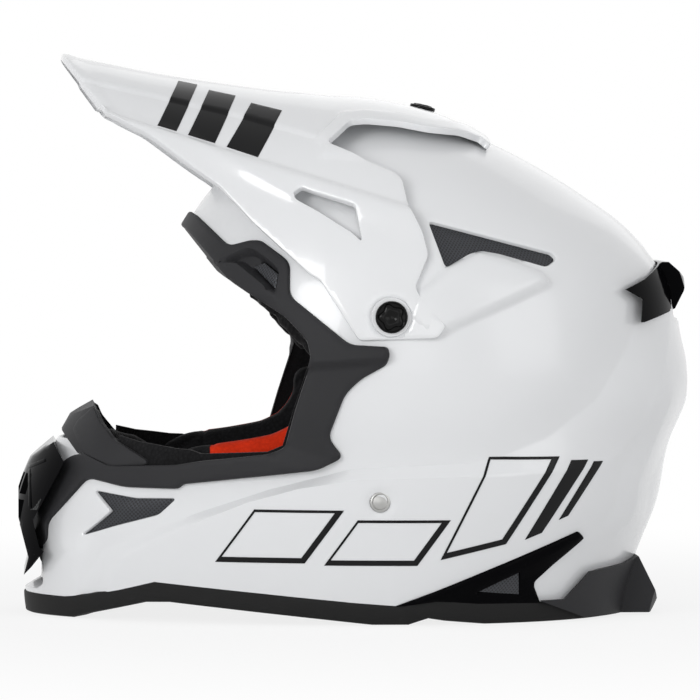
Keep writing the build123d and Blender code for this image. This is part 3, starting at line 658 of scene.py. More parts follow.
# ---------------------------------------------------------------- turned, sewn and soft pieces
def turned(name, origin, aim, profile, steps=48, wave=None):
    """A turned piece: the profile's (radius, height) rows are carried round the aim from the origin.

    wave(turn) scales the radius of each row by 1 + share * wave, where the share is the row's third value.
    """
    aim = np.asarray(aim, float) / np.linalg.norm(aim)
    side = np.cross(aim, (0, 0, 1.0) if abs(aim[2]) < 0.9 else (1.0, 0, 0))
    side /= np.linalg.norm(side)
    up = np.cross(aim, side)
    rows = np.asarray([(*row, 0.0)[:3] for row in profile], float)
    turn = np.linspace(0, 2 * np.pi, steps, endpoint=False)
    swing = np.zeros(steps) if wave is None else wave(turn)
    radius = rows[:, :1] * (1 + rows[:, 2:] * swing[None])
    ways = np.cos(turn)[None, :, None] * side + np.sin(turn)[None, :, None] * up
    places = np.asarray(origin, float) + radius[..., None] * ways + rows[:, 1, None, None] * aim
    ends = np.asarray(origin) + aim * rows[[0, -1], 1:2]
    n = len(rows)
    fan = np.arange(steps)
    ahead = np.roll(fan, -1)
    last = (n - 1) * steps
    first_cap = np.stack([ahead, fan, np.full(steps, n * steps)], 1)
    last_cap = np.stack([last + fan, last + ahead, np.full(steps, n * steps + 1)], 1)
    faces = ring_quads(n, steps).tolist() + first_cap.tolist() + last_cap.tolist()
    return tidy_normals(add_mesh(name, np.vstack([places.reshape(-1, 3), ends]), faces))


def ring_quads(rings, count):
    """The quads between rings that have this many points each."""
    i, j = np.meshgrid(np.arange(rings - 1), np.arange(count), indexing="ij")
    k = (j + 1) % count
    corners = [i * count + j, i * count + k, (i + 1) * count + k, (i + 1) * count + j]
    return np.stack(corners, -1).reshape(-1, 4)


def webbing(name, x, path, width, thick, step=1.5):
    """Woven strap: a flat oval section with thicker selvedges, carried along a path in the YZ plane.

    Across the strap the half thickness is t * (0.86 + 0.2 * u^6) * (1 - u^24)^(1/2), u from -1 to 1.
    """
    line = smoothed_path(path, step, 8.0)
    face = sideways(np.gradient(line, axis=0))
    u = np.sin(np.linspace(-np.pi / 2, np.pi / 2, 17))
    half = thick / 2 * (0.86 + 0.2 * u ** 6) * np.sqrt(np.maximum(1 - u ** 24, 0.02))
    across = np.concatenate([u, u[::-1]]) * width / 2
    rise = np.concatenate([half, -half[::-1]])
    n, m = len(line), len(across)
    places = np.empty((n, m, 3))
    places[..., 0] = x + across
    places[..., 1:] = line[:, None] + face[:, None] * rise[None, :, None]
    run = np.concatenate([[0], np.cumsum(np.hypot(*np.diff(line, axis=0).T))])
    uv = np.stack([np.broadcast_to(across, (n, m)), np.broadcast_to(run[:, None], (n, m))], -1)
    faces = ring_quads(n, m).tolist() + [list(range(m)), list(range((n - 1) * m, n * m))[::-1]]
    strap = add_mesh(name, places.reshape(-1, 3), faces, uv.reshape(-1, 2))
    return tidy_normals(strap, sharp=60.0)


def tidy_normals(thing, sharp=40.0):
    """Merges doubles, points the faces outwards and keeps only the sharp edges sharp."""
    bm = bmesh.new()
    bm.from_mesh(thing.data)
    bmesh.ops.remove_doubles(bm, verts=bm.verts, dist=DOUBLES)
    bmesh.ops.recalc_face_normals(bm, faces=bm.faces)
    for face in bm.faces:
        face.smooth = True
    limit = float(np.radians(sharp))
    for edge in bm.edges:
        edge.smooth = len(edge.link_faces) == 2 and edge.calc_face_angle(0) < limit
    bm.to_mesh(thing.data)
    bm.free()
    thing.data.update()
    return thing


def copied(node, name):
    """A copy of a solid's mesh as a piece of its own."""
    mesh = bpy.data.objects[node].data.copy()
    mesh.name = name
    return placed(name, mesh)


def refined(node, name, slot, width, flat_angle=0.8, body="helmet"):
    """A merged copy of a solid with its flat faces joined and its sharp edges rounded by the width."""
    thing = copied(node, name)
    bm = bmesh.new()
    bm.from_mesh(thing.data)
    bmesh.ops.remove_doubles(bm, verts=bm.verts, dist=DOUBLES)
    bmesh.ops.dissolve_limit(bm, angle_limit=np.radians(flat_angle), verts=bm.verts, edges=bm.edges)
    bm.to_mesh(thing.data)
    bm.free()
    tidy_normals(thing, sharp=32.0)
    if width:
        edge = thing.modifiers.new("edge", "BEVEL")
        edge.width = width * MM
        edge.segments = 2
        edge.limit_method = "ANGLE"
        edge.angle_limit = np.radians(35)
    return dress(thing, slot, body, stands_for=[node])


def read_rows(mesh, field):
    """Three numbers for each point of a mesh, such as its place in metres or its normal."""
    rows = np.empty(len(mesh.vertices) * 3)
    mesh.vertices.foreach_get(field, rows)
    return rows.reshape(-1, 3)


def write_points(mesh, places):
    """Sets a mesh's points from mm."""
    mesh.vertices.foreach_set("co", (places * MM).ravel())
    mesh.update()


def soft_copy(node, name, voxel, drawn_in):
    """A merged, evenly remeshed copy of a soft solid, drawn in a little along its normals."""
    thing = tidy_normals(copied(node, name))
    remesh = thing.modifiers.new("even", "REMESH")
    remesh.mode = "VOXEL"
    remesh.voxel_size = voxel * MM
    soften = thing.modifiers.new("soften", "SMOOTH")
    soften.iterations = 9
    soften.factor = 0.5
    bake_modifiers(thing)
    mesh = thing.data
    write_points(mesh, read_rows(mesh, "co") / MM - read_rows(mesh, "normal") * drawn_in)
    return thing


def bake_modifiers(thing):
    """Replaces a piece's mesh by what its modifiers make of it."""
    graph = bpy.context.evaluated_depsgraph_get()
    mesh = bpy.data.meshes.new_from_object(thing.evaluated_get(graph))
    old = thing.data
    thing.modifiers.clear()
    thing.data = mesh
    bpy.data.meshes.remove(old)
    return thing


def swell(thing, pressure, cap, frames=20):
    """Blows a soft piece up as cloth for a few frames, with no point going further than the cap."""
    scene = bpy.context.scene
    start = read_rows(thing.data, "co") / MM
    cloth = thing.modifiers.new("cloth", "CLOTH")
    cloth.settings.quality = 4
    cloth.settings.mass = 0.3
    cloth.settings.use_pressure = True
    cloth.settings.uniform_pressure_force = pressure
    cloth.settings.effector_weights.gravity = 0
    cloth.collision_settings.use_collision = False
    cloth.point_cache.frame_start = 1
    cloth.point_cache.frame_end = frames
    for frame_number in range(1, frames + 1):
        scene.frame_set(frame_number)
    graph = bpy.context.evaluated_depsgraph_get()
    blown = thing.evaluated_get(graph)
    moved = read_rows(blown.to_mesh(), "co") / MM - start
    blown.to_mesh_clear()
    thing.modifiers.remove(cloth)
    scene.frame_set(1)
    far = np.linalg.norm(moved, axis=1)
    write_points(thing.data, start + moved * np.minimum(1, cap / np.maximum(far, 1e-6))[:, None])
    return thing


def stitched(thing, seams, depth, width):
    """Presses sewn channels into a piece: depth * exp(-(d / width)^2) along side-view lines."""
    mesh = thing.data
    places = read_rows(mesh, "co") / MM
    press = np.zeros(len(places))
    for line in seams:
        d = np.abs(line_side(places[:, [0, 2]], line))
        press = np.maximum(press, depth * np.exp(-(d / width) ** 2))
    write_points(mesh, places - read_rows(mesh, "normal") * press[:, None])
    mesh.polygons.foreach_set("use_smooth", np.ones(len(mesh.polygons), bool))
    return thing


def cushion(node, name, voxel, drawn_in, pressure, cap, levels, seams=(), depth=0.0, width=1.0):
    """A soft solid remeshed, blown up, subdivided and sewn."""
    thing = swell(soft_copy(node, name, voxel, drawn_in), pressure, cap)
    sub = thing.modifiers.new("finer", "SUBSURF")
    sub.levels = sub.render_levels = levels
    bake_modifiers(thing)
    return stitched(thing, seams, depth, width) if seams else thing


# ---------------------------------------------------------------- finishes
def feed(tree, node, inputs):
    """Sets the named inputs of a node to values, or links them from sockets."""
    for name, what in inputs.items():
        if isinstance(what, bpy.types.NodeSocket):
            tree.links.new(what, node.inputs[name])
        else:
            node.inputs[name].default_value = what


def add_node(tree, kind, inputs=None, **settings):
    """A shader node with its settings made first, then its inputs."""
    node = tree.nodes.new("ShaderNode" + kind)
    for field, value in settings.items():
        setattr(node, field, value)
    feed(tree, node, inputs or {})
    return node


def worked_out(tree, operation, *numbers):
    """The result of a sum on numbers or sockets."""
    return add_node(tree, "Math", dict(enumerate(numbers)), operation=operation).outputs[0]


def spread_over(tree, value, low, high, first=0.0, last=1.0, **settings):
    """A value between two limits, spread over another two."""
    inputs = {"Value": value, "From Min": low, "From Max": high, "To Min": first, "To Max": last}
    return add_node(tree, "MapRange", inputs, **settings).outputs["Result"]


def blended(tree, share, first, second):
    """A colour between two, each a colour or a socket."""
    ends = [c if isinstance(c, bpy.types.NodeSocket) else (*c, 1) for c in (first, second)]
    mix = add_node(tree, "Mix", {"Factor": share, "A": ends[0], "B": ends[1]}, data_type="RGBA")
    return mix.outputs["Result"]


def embossed(tree, shader, height, strength, deep):
    """Raises the shader's surface by a height, whose full range is this many mm."""
    bump = add_node(tree, "Bump", {"Strength": strength, "Distance": deep * MM, "Height": height})
    feed(tree, shader, {"Normal": bump.outputs["Normal"]})


def effect_group(name, inputs, wiring):
    """A group of shader nodes made once: wiring(tree, given) lays them and names what they put out."""
    tree = bpy.data.node_groups.get(name)
    if tree:
        return tree
    tree = bpy.data.node_groups.new(name, "ShaderNodeTree")
    for label, value in inputs.items():
        socket = tree.interface.new_socket(name=label, in_out="INPUT", socket_type="NodeSocketFloat")
        socket.default_value = value
    results = wiring(tree, tree.nodes.new("NodeGroupInput").outputs)
    for label in results:
        tree.interface.new_socket(name=label, in_out="OUTPUT", socket_type="NodeSocketFloat")
    feed(tree, tree.nodes.new("NodeGroupOutput"), results)
    return tree


def fine_grain(tree, given):
    """Two sizes of noise on the piece's own place: a height and a patchy value."""
    place = add_node(tree, "TexCoord").outputs["Object"]
    sizes = {"Height": "Size", "Patches": "Patch"}
    return {
        label: add_node(tree, "TexNoise", {"Vector": place, "Scale": given[size], "Detail": 3}).outputs["Fac"]
        for label, size in sizes.items()
    }


def wire_weave(tree, given):
    """Two crossed sets of bands on the sheet's own map, each highest along the middle of its wires."""
    sheet = add_node(tree, "UVMap", uv_map="sheet").outputs["UV"]
    turned_sheet = add_node(
        tree, "VectorRotate", {"Vector": sheet, "Angle": given["Turn"]}, rotation_type="Z_AXIS")
    axes = add_node(tree, "SeparateXYZ", {0: turned_sheet.outputs["Vector"]}).outputs
    bands = []
    for axis in ("X", "Y"):
        across = worked_out(tree, "DIVIDE", axes[axis], given["Pitch"])
        bands.append(spread_over(tree, worked_out(tree, "PINGPONG", across, 0.5), 0.12, 0.26, 1, 0))
    most = worked_out(tree, "MAXIMUM", *bands)
    return {"Wire": most, "Height": most}


def knit_cloth(tree, given):
    """Cell noise on the piece's own place: threads and small holes; the distance from the cell centres gives
    the bump and the share of painted shade between the threads.
    """
    place = add_node(tree, "TexCoord").outputs["Object"]
    far = add_node(tree, "TexVoronoi", {"Vector": place, "Scale": given["Size"]}).outputs["Distance"]
    return {"Thread": far, "Height": far}


FINISHES = {}


def new_finish(name):
    """The tree and the Principled shader of a material, which is kept by its name."""
    FINISHES[name] = bpy.data.materials.new(name)
    FINISHES[name].use_nodes = True
    tree = FINISHES[name].node_tree
    return tree, tree.nodes["Principled BSDF"]


def moulded(
    name, colour, roughness, metallic=0, coat=0, specular=0.5, grain=900, bump=0.05, deep=0.02, vary=0.06
):
    """A moulded, painted or metal finish: patchy colour and roughness, and a fine grain."""
    tree, shader = new_finish(name)
    group = effect_group("Fine Grain", {"Size": 900.0, "Patch": 25.0}, fine_grain)
    effect = add_node(tree, "Group", {"Size": grain, "Patch": 25}, node_tree=group).outputs
    dark = [c * (1 - vary) for c in colour]
    light = [min(1, c * (1 + vary)) for c in colour]
    feed(tree, shader, {
        "Metallic": metallic, "Coat Weight": coat, "Coat Roughness": 0.05, "Specular IOR Level": specular,
        "Base Color": blended(tree, effect["Patches"], dark, light),
        "Roughness": spread_over(tree, effect["Patches"], 0, 1, roughness * 0.92, roughness * 1.08),
    })
    embossed(tree, shader, effect["Height"], bump, deep)


def woven_wire(name, hole, wire):
    """Woven wire over the hole colour, which paints what the holes would show: the black inside and its
    shade.
    """
    tree, shader = new_finish(name)
    group = effect_group("Wire Weave", {"Pitch": 0.0016, "Turn": 0.78}, wire_weave)
    effect = add_node(tree, "Group", {"Pitch": 0.0016, "Turn": 0.78}, node_tree=group).outputs
    feed(tree, shader, {
        "Base Color": blended(tree, effect["Wire"], hole, wire), "Roughness": 0.42,
        "Metallic": worked_out(tree, "MULTIPLY", effect["Wire"], 0.6),
    })
    embossed(tree, shader, effect["Height"], 0.8, 0.4)


def knitted(name, colour, size=520, sheen=0.15, accent=None):
    """Knitted cloth with painted shade that darkens it between the threads; the accent colour fills the panel
    attribute.
    """
    tree, shader = new_finish(name)
    group = effect_group("Knit Cloth", {"Size": 520.0}, knit_cloth)
    effect = add_node(tree, "Group", {"Size": size}, node_tree=group).outputs

    def threads(shade, dark):
        """The colour with painted shade: darker by this share towards the holes between the threads."""
        return blended(tree, effect["Thread"], shade, [c * (1 - dark) for c in shade])

    # Painted shade: the black cloth is darkened by 0.6 between its threads, the orange panel by 0.18.
    shade = threads(colour, 0.6)
    if accent:
        panel_mask = add_node(tree, "Attribute", attribute_name="panel").outputs["Fac"]
        shade = blended(tree, spread_over(tree, panel_mask, -0.2, 0.2), shade, threads(accent, 0.18))
    feed(tree, shader, {
        "Base Color": shade, "Roughness": 0.9, "Sheen Weight": sheen, "Specular IOR Level": 0.1,
    })
    embossed(tree, shader, effect["Height"], 0.6, 0.5)


def make_finishes():
    """Makes every finish of the helmet."""
    chosen = bpy.context.scene.helmet_finish
    fields = ("shell_white", "trim_black", "rubber_black", "accent_orange")
    white, trim, rubber, orange = (tuple(getattr(chosen, field)) for field in fields)
    moulded("shell_gloss_white", white, 0.24, coat=0.35, grain=60, bump=0.02, vary=0.012)
    moulded("peak_gloss_white", white, 0.26, coat=0.5, grain=60, bump=0.02, vary=0.012)
    moulded("trim_matte_black", trim, 0.55, specular=0.16, grain=1400, bump=0.25, deep=0.06, vary=0.12)
    moulded("base_rubber", rubber, 0.6, specular=0.1, grain=1100, bump=0.3, deep=0.06, vary=0.12)
    moulded("vent_gloss_black", (0.002, 0.002, 0.0025), 0.09, specular=0.02, grain=80, bump=0.03)
    moulded("knob_black", (0.003, 0.003, 0.003), 0.14, specular=0.15, grain=300)
    moulded("foam_black", (0.03, 0.03, 0.03), 0.9, grain=700, bump=0.6, deep=0.3, vary=0.3)
    moulded("filter_foam", (0.05, 0.05, 0.05), 0.95, bump=0.9, deep=0.5, vary=0.4)
    moulded("steel", (0.42, 0.42, 0.41), 0.32, metallic=1, grain=500, bump=0.1, vary=0.08)
    moulded("insert_brass", (0.6, 0.43, 0.18), 0.35, metallic=1, grain=500, bump=0.1)
    moulded("decal_black", (0.003, 0.003, 0.0035), 0.3, specular=0.2, grain=60, bump=0.02)
    # The hole colours of the wire finishes paint the black inside seen through the holes, together with its
    # shade.
    woven_wire("grille_weave", (0.001, 0.001, 0.001), (0.012, 0.013, 0.014))
    woven_wire("vent_mesh", (0.001, 0.001, 0.002), (0.055, 0.058, 0.066))
    # The knitted finishes carry painted shade between their threads.
    knitted("lining_black", (0.012, 0.012, 0.013))
    knitted("cheek_fabric", (0.012, 0.012, 0.013), sheen=0.02, accent=orange)
    knitted("webbing_black", (0.016, 0.016, 0.017), size=800)


# ---------------------------------------------------------------- sculpting
def ease(x, low, high):
    """Smooth step from 0 at low to 1 at high."""
    k = np.clip((x - low) / (high - low), 0, 1)
    return k * k * (3 - 2 * k)


def seat(x, z, centre, radius):
    """A round seat that sinks 1.2 mm over the last 1.2 mm before its radius."""
    return -1.2 * ease(-np.hypot(x - centre[0], z - centre[1]), -radius - 1.2, -radius)


def tent(xz, line, width, height):
    """A ridge along a line: height * k * (1.3 - 0.3 k), k falling from 1 at the line to 0 at the width."""
    k = np.clip(1 - np.abs(line_side(xz, line)) / width, 0, 1)
    return height * k * (1.3 - 0.3 * k)


def shell_height(x, y, z, lift=0.0):
    """The shell's sculpture over its form, lifted by some mm.

    Above the body line the dome draws in by a soft hollow; from that line the ledge ramps out to its
    outer edge, and the lower panel stands out beyond it. The pod behind the screw is raised and the rear
    carries a fold. Near the very front the lower panel stays flush with the base edge. The shell draws in
    behind the grille and the rear outlet, and stays in front of the plane x = REAR_END.
    """
    xz = np.stack([x, z], 1)
    over = -line_side(xz, BODY_LINE)
    beyond = -line_side(xz, LEDGE_EDGE)
    stand_out, flush_rise, hollow_reach = 2.2, 2.0, 20
    soft = 0.6 * (1 - ease(x, -120, -50))
    deep = 2.2 + 0.8 * ease(x, -60, 20)
    k = np.clip(over / np.maximum(over - beyond, 0.5), 0, 1)
    k = (1 - soft) * k + soft * k * k * (3 - 2 * k)
    hollow = -deep * np.exp(-(np.minimum(over, 0) / hollow_reach) ** 2)
    ramp = -deep + (deep + stand_out) * k
    height = np.where(over < 0, hollow, np.where(beyond > 0, stand_out, ramp))
    flush = (1 - ease(x, -150, -138)) * (1 - ease(z, 34, 52))
    height = height * (1 - flush) + flush_rise * flush
    pod = 4.2 * ease(depth_in(xz, POD), -0.8, 5.2)
    fold = 2.2 * np.clip(1 - np.abs(line_side(xz, REAR_FOLD)) / 10, 0, 1) * ease(z, 36, 60)
    rivet_seat = np.where(np.abs(y) > 80, seat(x, z, RIVET, 6.2), 0)
    wide = np.abs(y)
    grille = 9.0 * ease(-x, 158, 164) * ease(z, 13, 19) * (1 - ease(z, 82, 86)) * (1 - ease(wide, 22, 32))
    outlet = 7.0 * ease(x, 148, 154) * ease(z, 156.5, 160.5) * (1 - ease(z, 180, 185))
    outlet = outlet * (1 - ease(wide, 26, 34))
    total = height + pod + fold + rivet_seat - grille - outlet
    return np.minimum(total, REAR_END - x) + lift


def peak_height(x, y, z, lift=0.0):
    """The peak's sculpture, lifted by some mm.

    A stepped ridge and a low fold run along the side and a crease under the crown, the front lip and the
    rear rim are raised, and the screws' seats and the pit round the slot are sunk.
    """
    xz = np.stack([x, z], 1)
    below = -line_side(xz, PEAK_RIDGE)
    rise = 2.7 * np.where(below < 0, 0, ease(below, 0, 4.6) * (1 - ease(below, 5.2, 20)))
    rise += tent(xz, PEAK_LOW_FOLD, 5, 0.8)
    over = line_side(xz, PEAK_CROWN)
    rise += 1.3 * ease(over, -0.2, 1.4) * np.exp(-np.maximum(over, 0) / 30) * (1 - ease(x, -30, -8))
    rise += 0.7 * ease(-line_side(xz, PEAK_LIP), -4.5, 0.5) * ease(z, 258, 266)
    rise += 1.7 * ease(-line_side(xz, PEAK_RIM), -1.2, 0.2) * ease(x, -24, -18) * ease(z, 244, 248)
    screw_seat = np.where(z < 200, seat(x, z, TILT, 9.8), 0)
    station, half_run, _ = TOP_SLOT
    along = (x - station) * TOP_AIM[1]
    round_slot = np.hypot(np.maximum(np.abs(along) - half_run, 0), y)
    pit = 2.0 * ease(-round_slot, -8.6, -7.6) * (z > 240)
    return -2.3 + rise + screw_seat - pit + lift


def dress(thing, slot, body="helmet", finish_name=None, stands_for=(), inner=None):
    """Gives a piece its finish outside and inside its wall, the slot's own unless another is named, and its
    body.

    It also hides the nodes that the piece stands for.
    """
    slots = thing.data.materials
    while len(slots) < 2:
        slots.append(None)
    slots[0] = FINISHES[finish_name or slot]
    slots[1] = FINISHES[inner or finish_name or slot]
    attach(thing, body)
    if stands_for:
        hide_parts(*stands_for)
    return thing


# ---------------------------------------------------------------- sizes and colours
def colour(name, description, default):
    """A colour that the user may change."""
    return bpy.props.FloatVectorProperty(
        name=name, description=description, subtype="COLOR", size=3, default=default, min=0, max=1)


def length(name, description, default, low, high):
    """A length in metres that the user may change."""
    return bpy.props.FloatProperty(
        name=name, description=description, unit="LENGTH", default=default, min=low, max=high)


class HelmetFinish(bpy.types.PropertyGroup):
    """Colours of the helmet's finishes."""

    shell_white: colour("Shell white", "Lacquer colour of the shell and the peak", (0.78, 0.79, 0.8))
    trim_black: colour(
        "Trim black", "Colour of the eyeport frame, nose guard and rear skirt", (0.027, 0.027, 0.029))
    rubber_black: colour("Rubber black", "Colour of the base edge", (0.018, 0.018, 0.018))
    accent_orange: colour("Accent orange", "Colour of the cheek pads' lower panel", (0.72, 0.035, 0.008))


class HelmetSizes(bpy.types.PropertyGroup):
    """Sizes of the helmet's dressing."""

    shell_wall: length("Shell wall", "Thickness of the outer shell", 0.0038, 0.002, 0.008)
    peak_wall: length("Peak wall", "Thickness of the peak", 0.0026, 0.0015, 0.005)
    trim_rise: length(
        "Trim rise", "How far the eyeport frame stands proud of the shell", 0.0022, 0.001, 0.005)
    detail: length("Detail", "Spacing of the surface points", 0.0028, 0.0015, 0.008)


class HELMET_OT_shell(bpy.types.Operator):
    """Makes the sculpted outer shell with its openings."""

    bl_idname = "helmet.shell"
    bl_label = "Outer Shell"

    def execute(self, context):
        sizes = context.scene.helmet_sizes
        body = [(x, z + 4.0) for x, z in BASE_BOTTOM] + [(-FAR, CROWN), (FAR, CROWN)]
        eyeport = grown(OPENING, 2.5)
        cuts = [eyeport, rounded(CHIN_SIDE_VENT, 2), rounded(UPPER_SIDE_VENT, 2.5)]
        shell = panel(
            "shell", SHELL, [body], [*cuts, BROW_VENT, REAR_SIDE_MESH], step=sizes.detail / MM,
            height=shell_height, thick=sizes.shell_wall / MM, lines=[BODY_LINE, LEDGE_EDGE, POD[:-1]])
        dress(shell, "shell_gloss_white", stands_for=["outer_shell"], inner="foam_black")
        return {"FINISHED"}


class HELMET_OT_trim(bpy.types.Operator):
    """Makes the matte frame round the eyeport with its folds and brow recesses."""

    bl_idname = "helmet.trim"
    bl_label = "Eyeport Frame"

    def execute(self, context):
        rise = context.scene.helmet_sizes.trim_rise / MM
        upper, lower = [(-34, 137.6), (16, 141.6)], [(-43, 94.9), (-7, 85.6)]
        foot = [(-33, 132.4), (10, 136.4)]
        brow = [np.vstack([loop, loop[:1]]) for loop in (grown(BROW_VENT, 0.6), grown(BROW_VENT, -2.2))]
        inner = [(-84, 196), (-62, 171), (-34, 147), (-29, 139), (-37, 112), (-43, 94.6)]
        ledge = [(-80, 187), (-73, 188.5), (-63.5, 189.5), (-44.5, 172.6)]

        def height(x, y, z):
            """A ridge and a low fold along the sides, an eased inner lip, a step and the brow recess."""
            xz = np.stack([x, z], 1)
            side = ease(x, -70, -42)
            over = line_side(xz, upper)
            ridge = np.where(over > 0, np.exp(-np.maximum(over, 0) / 13), 1 - ease(-over, 0, 5.2)) * 3.4
            under = -line_side(xz, lower)
            dip = 0.9 * np.exp(-(np.minimum(under, 0) / 14) ** 2)
            floor = ease(under, 0, 10) * 2.0 * ease(z, 60, 76) - dip
            lip = -1.0 * np.exp(-((line_side(xz, inner) + 4) / 3.5) ** 2) * side
            sink = -4.2 * ease(depth_in(xz, BROW_VENT), -0.6, 2.2)
            step = 1.6 * ease(-np.abs(line_side(xz, ledge) + 5), -6, -4) * ease(z, 166, 174)
            return rise + 0.4 + ridge * side + floor * side + lip + sink + step

        trim = panel(
            "eyeport_frame", SHELL, [rounded(TRIM, 4)], [rounded(OPENING, 3), rounded(BROW_MESH, 1.5)],
            step=2.4, height=height, rim=1.5, thick=6.0, lines=[upper, foot, lower, ledge, *brow])
        dress(trim, "trim_matte_black", stands_for=["eyeport_trim"], inner="lining_black")
        skirt = panel("eyeport_skirt", ShellSkin(-6.4), [SKIRT], step=4.0, rim=0.6, thick=1.6)
        dress(skirt, "lining_black")
        return {"FINISHED"}


class HELMET_OT_base(bpy.types.Operator):
    """Makes the rubber edge round the neck opening."""

    bl_idname = "helmet.base"
    bl_label = "Base Edge"

    def execute(self, context):
        base = panel(
            "base_edge", SHELL, [[(x, z + 1.0) for x, z in BASE_TOP] + BASE_BOTTOM], step=3.5, rim=1.8,
            thick=9.5, height=lambda x, y, z: 2.3 + 0.5 * np.sin(np.clip((z - 2) / 14, 0, 1) * np.pi))
        dress(base, "base_rubber", stands_for=["base_trim"])
        return {"FINISHED"}


class HELMET_OT_meshes(bpy.types.Operator):
    """Makes the woven vent panels, each crowned a little in its opening."""

    bl_idname = "helmet.meshes"
    bl_label = "Vent Meshes"

    def execute(self, context):
        spots = (("chin_side", CHIN_SIDE_VENT, -2.0), ("upper_side", UPPER_SIDE_VENT, -2.2),
                 ("brow", BROW_MESH, -0.6), ("rear_side", REAR_SIDE_MESH, 0.6))
        for name, outline, drop in spots:

            def crown(x, y, z, loop=outline, low=drop):
                """The shell's height less the drop, and a crown of 1.4 mm reached 9 mm in from the edge."""
                return shell_height(x, y, z, low) + 1.4 * ease(depth_in(np.stack([x, z], 1), loop), 0, 9)

            for side, word in SIDES:
                piece = panel(
                    f"{word}_{name}_weave", SHELL, [outline], step=2.2, height=crown, rim=0.2, thick=0.8,
                    sides=(side,))
                dress(piece, "vent_mesh", stands_for=[f"{word}_{name}_mesh"])
        return {"FINISHED"}


class HELMET_OT_peak(bpy.types.Operator):
    """Makes the peak with its creases, slots, tail and screw seats."""

    bl_idname = "helmet.peak"
    bl_label = "Peak"

    def execute(self, context):
        sizes = context.scene.helmet_sizes
        turn = np.linspace(0, 2 * np.pi, 40, endpoint=False)
        hole = 9.0
        screw = np.stack([TILT[0] + hole * np.cos(turn), TILT[1] + hole * np.sin(turn)], 1)
        station, half_run, radius = TOP_SLOT
        half = np.linspace(0, np.pi, 15)
        slot = np.stack([station + np.sign(np.cos(half)) * half_run + radius * np.cos(half),
                         PEAK.width - radius * np.sin(half)], 1)
        peak = panel(
            "peak_sheet", PEAK, [rounded(PEAK_SIDE, 2.5, False)], [rounded(PEAK_SLOT, 2), screw], [slot],
            step=2.6, height=peak_height, rim=1.0, thick=sizes.peak_wall / MM,
            lines=[PEAK_RIDGE, PEAK_LOW_FOLD, PEAK_CROWN, PEAK_RIM])
        dress(peak, "peak_gloss_white", body="peak", stands_for=["peak"])
        for side, word in SIDES:
            ring = turned(f"{word}_peak_seat", (TILT[0], 0, TILT[1]), (0, -side, 0), [
                (4.2, 126.5), (10.4, 126.5), (10.4, 129.0), (10.0, 129.6), (4.6, 129.6), (4.2, 129.2)])
            dress(ring, "peak_gloss_white", body="peak")
        return {"FINISHED"}


class HELMET_OT_screws(bpy.types.Operator):
    """Makes the lobed screw heads of the peak and the strap rivets."""

    bl_idname = "helmet.screws"
    bl_label = "Screws and Rivets"

    def execute(self, context):
        pivot = (TILT[0], 0, TILT[1])
        for word, aim, low, r in (
                ("left", (0, -1, 0), 130.2, 8.4), ("right", (0, 1, 0), 130.2, 8.4),
                ("top", (TOP_AIM[0], 0, TOP_AIM[1]), 111.0, 6.9)):
            head = turned(f"{word}_knob", pivot, aim, [
                (3.0, low - 17.5), (3.0, low - 3.2), (3.9, low - 3.2), (3.9, low), (r * 0.96, low),
                (r, low + 0.5), (r, low + 1.4), (r * 0.97, low + 1.9), (r * 0.9, low + 2.05),
                (r * 0.86, low + 1.5, 0.02), (r * 0.66, low + 1.2, 0.2), (r * 0.6, low + 2.2, 0.3),
                (r * 0.55, low + 2.6, 0.3), (r * 0.38, low + 2.8, 0.3), (r * 0.28, low + 2.5),
                (r * 0.2, low + 2.0), (r * 0.05, low + 2.0),
            ], steps=80, wave=lambda turn: 0.5 + 0.5 * np.cos(5 * turn))
            dress(head, "knob_black", body=f"{word}_screw", stands_for=[f"{word}_peak_screw"])
        for side, word in SIDES:
            rivet = turned(f"{word}_rivet", (RIVET[0], 0, RIVET[1]), (0, -side, 0), [
                (2.45, 106.8), (2.45, 118.0), (5.4, 118.0), (5.5, 121.8), (5.1, 122.5), (4.4, 122.7),
                (3.9, 122.3), (3.7, 122.0), (2.0, 122.4), (0.1, 122.5)])
            dress(rivet, "steel", stands_for=[f"{word}_strap_rivet"])
        return {"FINISHED"}


class HELMET_OT_vents(bpy.types.Operator):
    """Makes the gloss vents, the nose guard and the rear skirt with eased edges."""

    bl_idname = "helmet.vents"
    bl_label = "Vents and Guards"

    def execute(self, context):
        refined("chin_vent_grille", "chin_grille", "vent_gloss_black", 0.8)
        refined("rear_exhaust_vent", "rear_exhaust", "vent_gloss_black", 0.8)
        refined("rear_spoiler", "rear_skirt", "trim_matte_black", 1.6)
        refined("nose_guard", "nose_wedge", "trim_matte_black", 1.2)
        windows = panel("grille_windows", ShellSkin(11.8), [GRILLE_WINDOW], step=2.0, rim=0.3, thick=0.4)
        dress(windows, "vent_mesh", finish_name="grille_weave")
        ribs = panel("grille_ribs", ShellSkin(12.4), GRILLE_BARS, step=2.0, rim=0.3, thick=1.0)
        dress(ribs, "vent_gloss_black")
        flank = panel(
            "guard_flank", SHELL, [rounded(GUARD_FLANK, 1.2)], step=2.5, rim=0.8, thick=3.2,
            height=lambda x, y, z: 2.4 - 6.0 * ease(x, -139, -110))
        dress(flank, "trim_matte_black")

        def height(x, y, z):
            """The cover lies a little over the shell and carries a ridge along its middle."""
            return shell_height(x, y, z, 0.7) + tent(np.stack([x, z], 1), COVER_RIDGE, 7, 1.6)

        for side, word in SIDES:
            cover = panel(
                f"{word}_rear_cover", SHELL, [rounded(REAR_COVER, 1.2)], [REAR_SIDE_MESH], step=2.0,
                height=height, rim=1.0, thick=2.4, sides=(side,), lines=[COVER_RIDGE])
            dress(cover, "vent_gloss_black", stands_for=[f"{word}_rear_side_vent"])
        return {"FINISHED"}


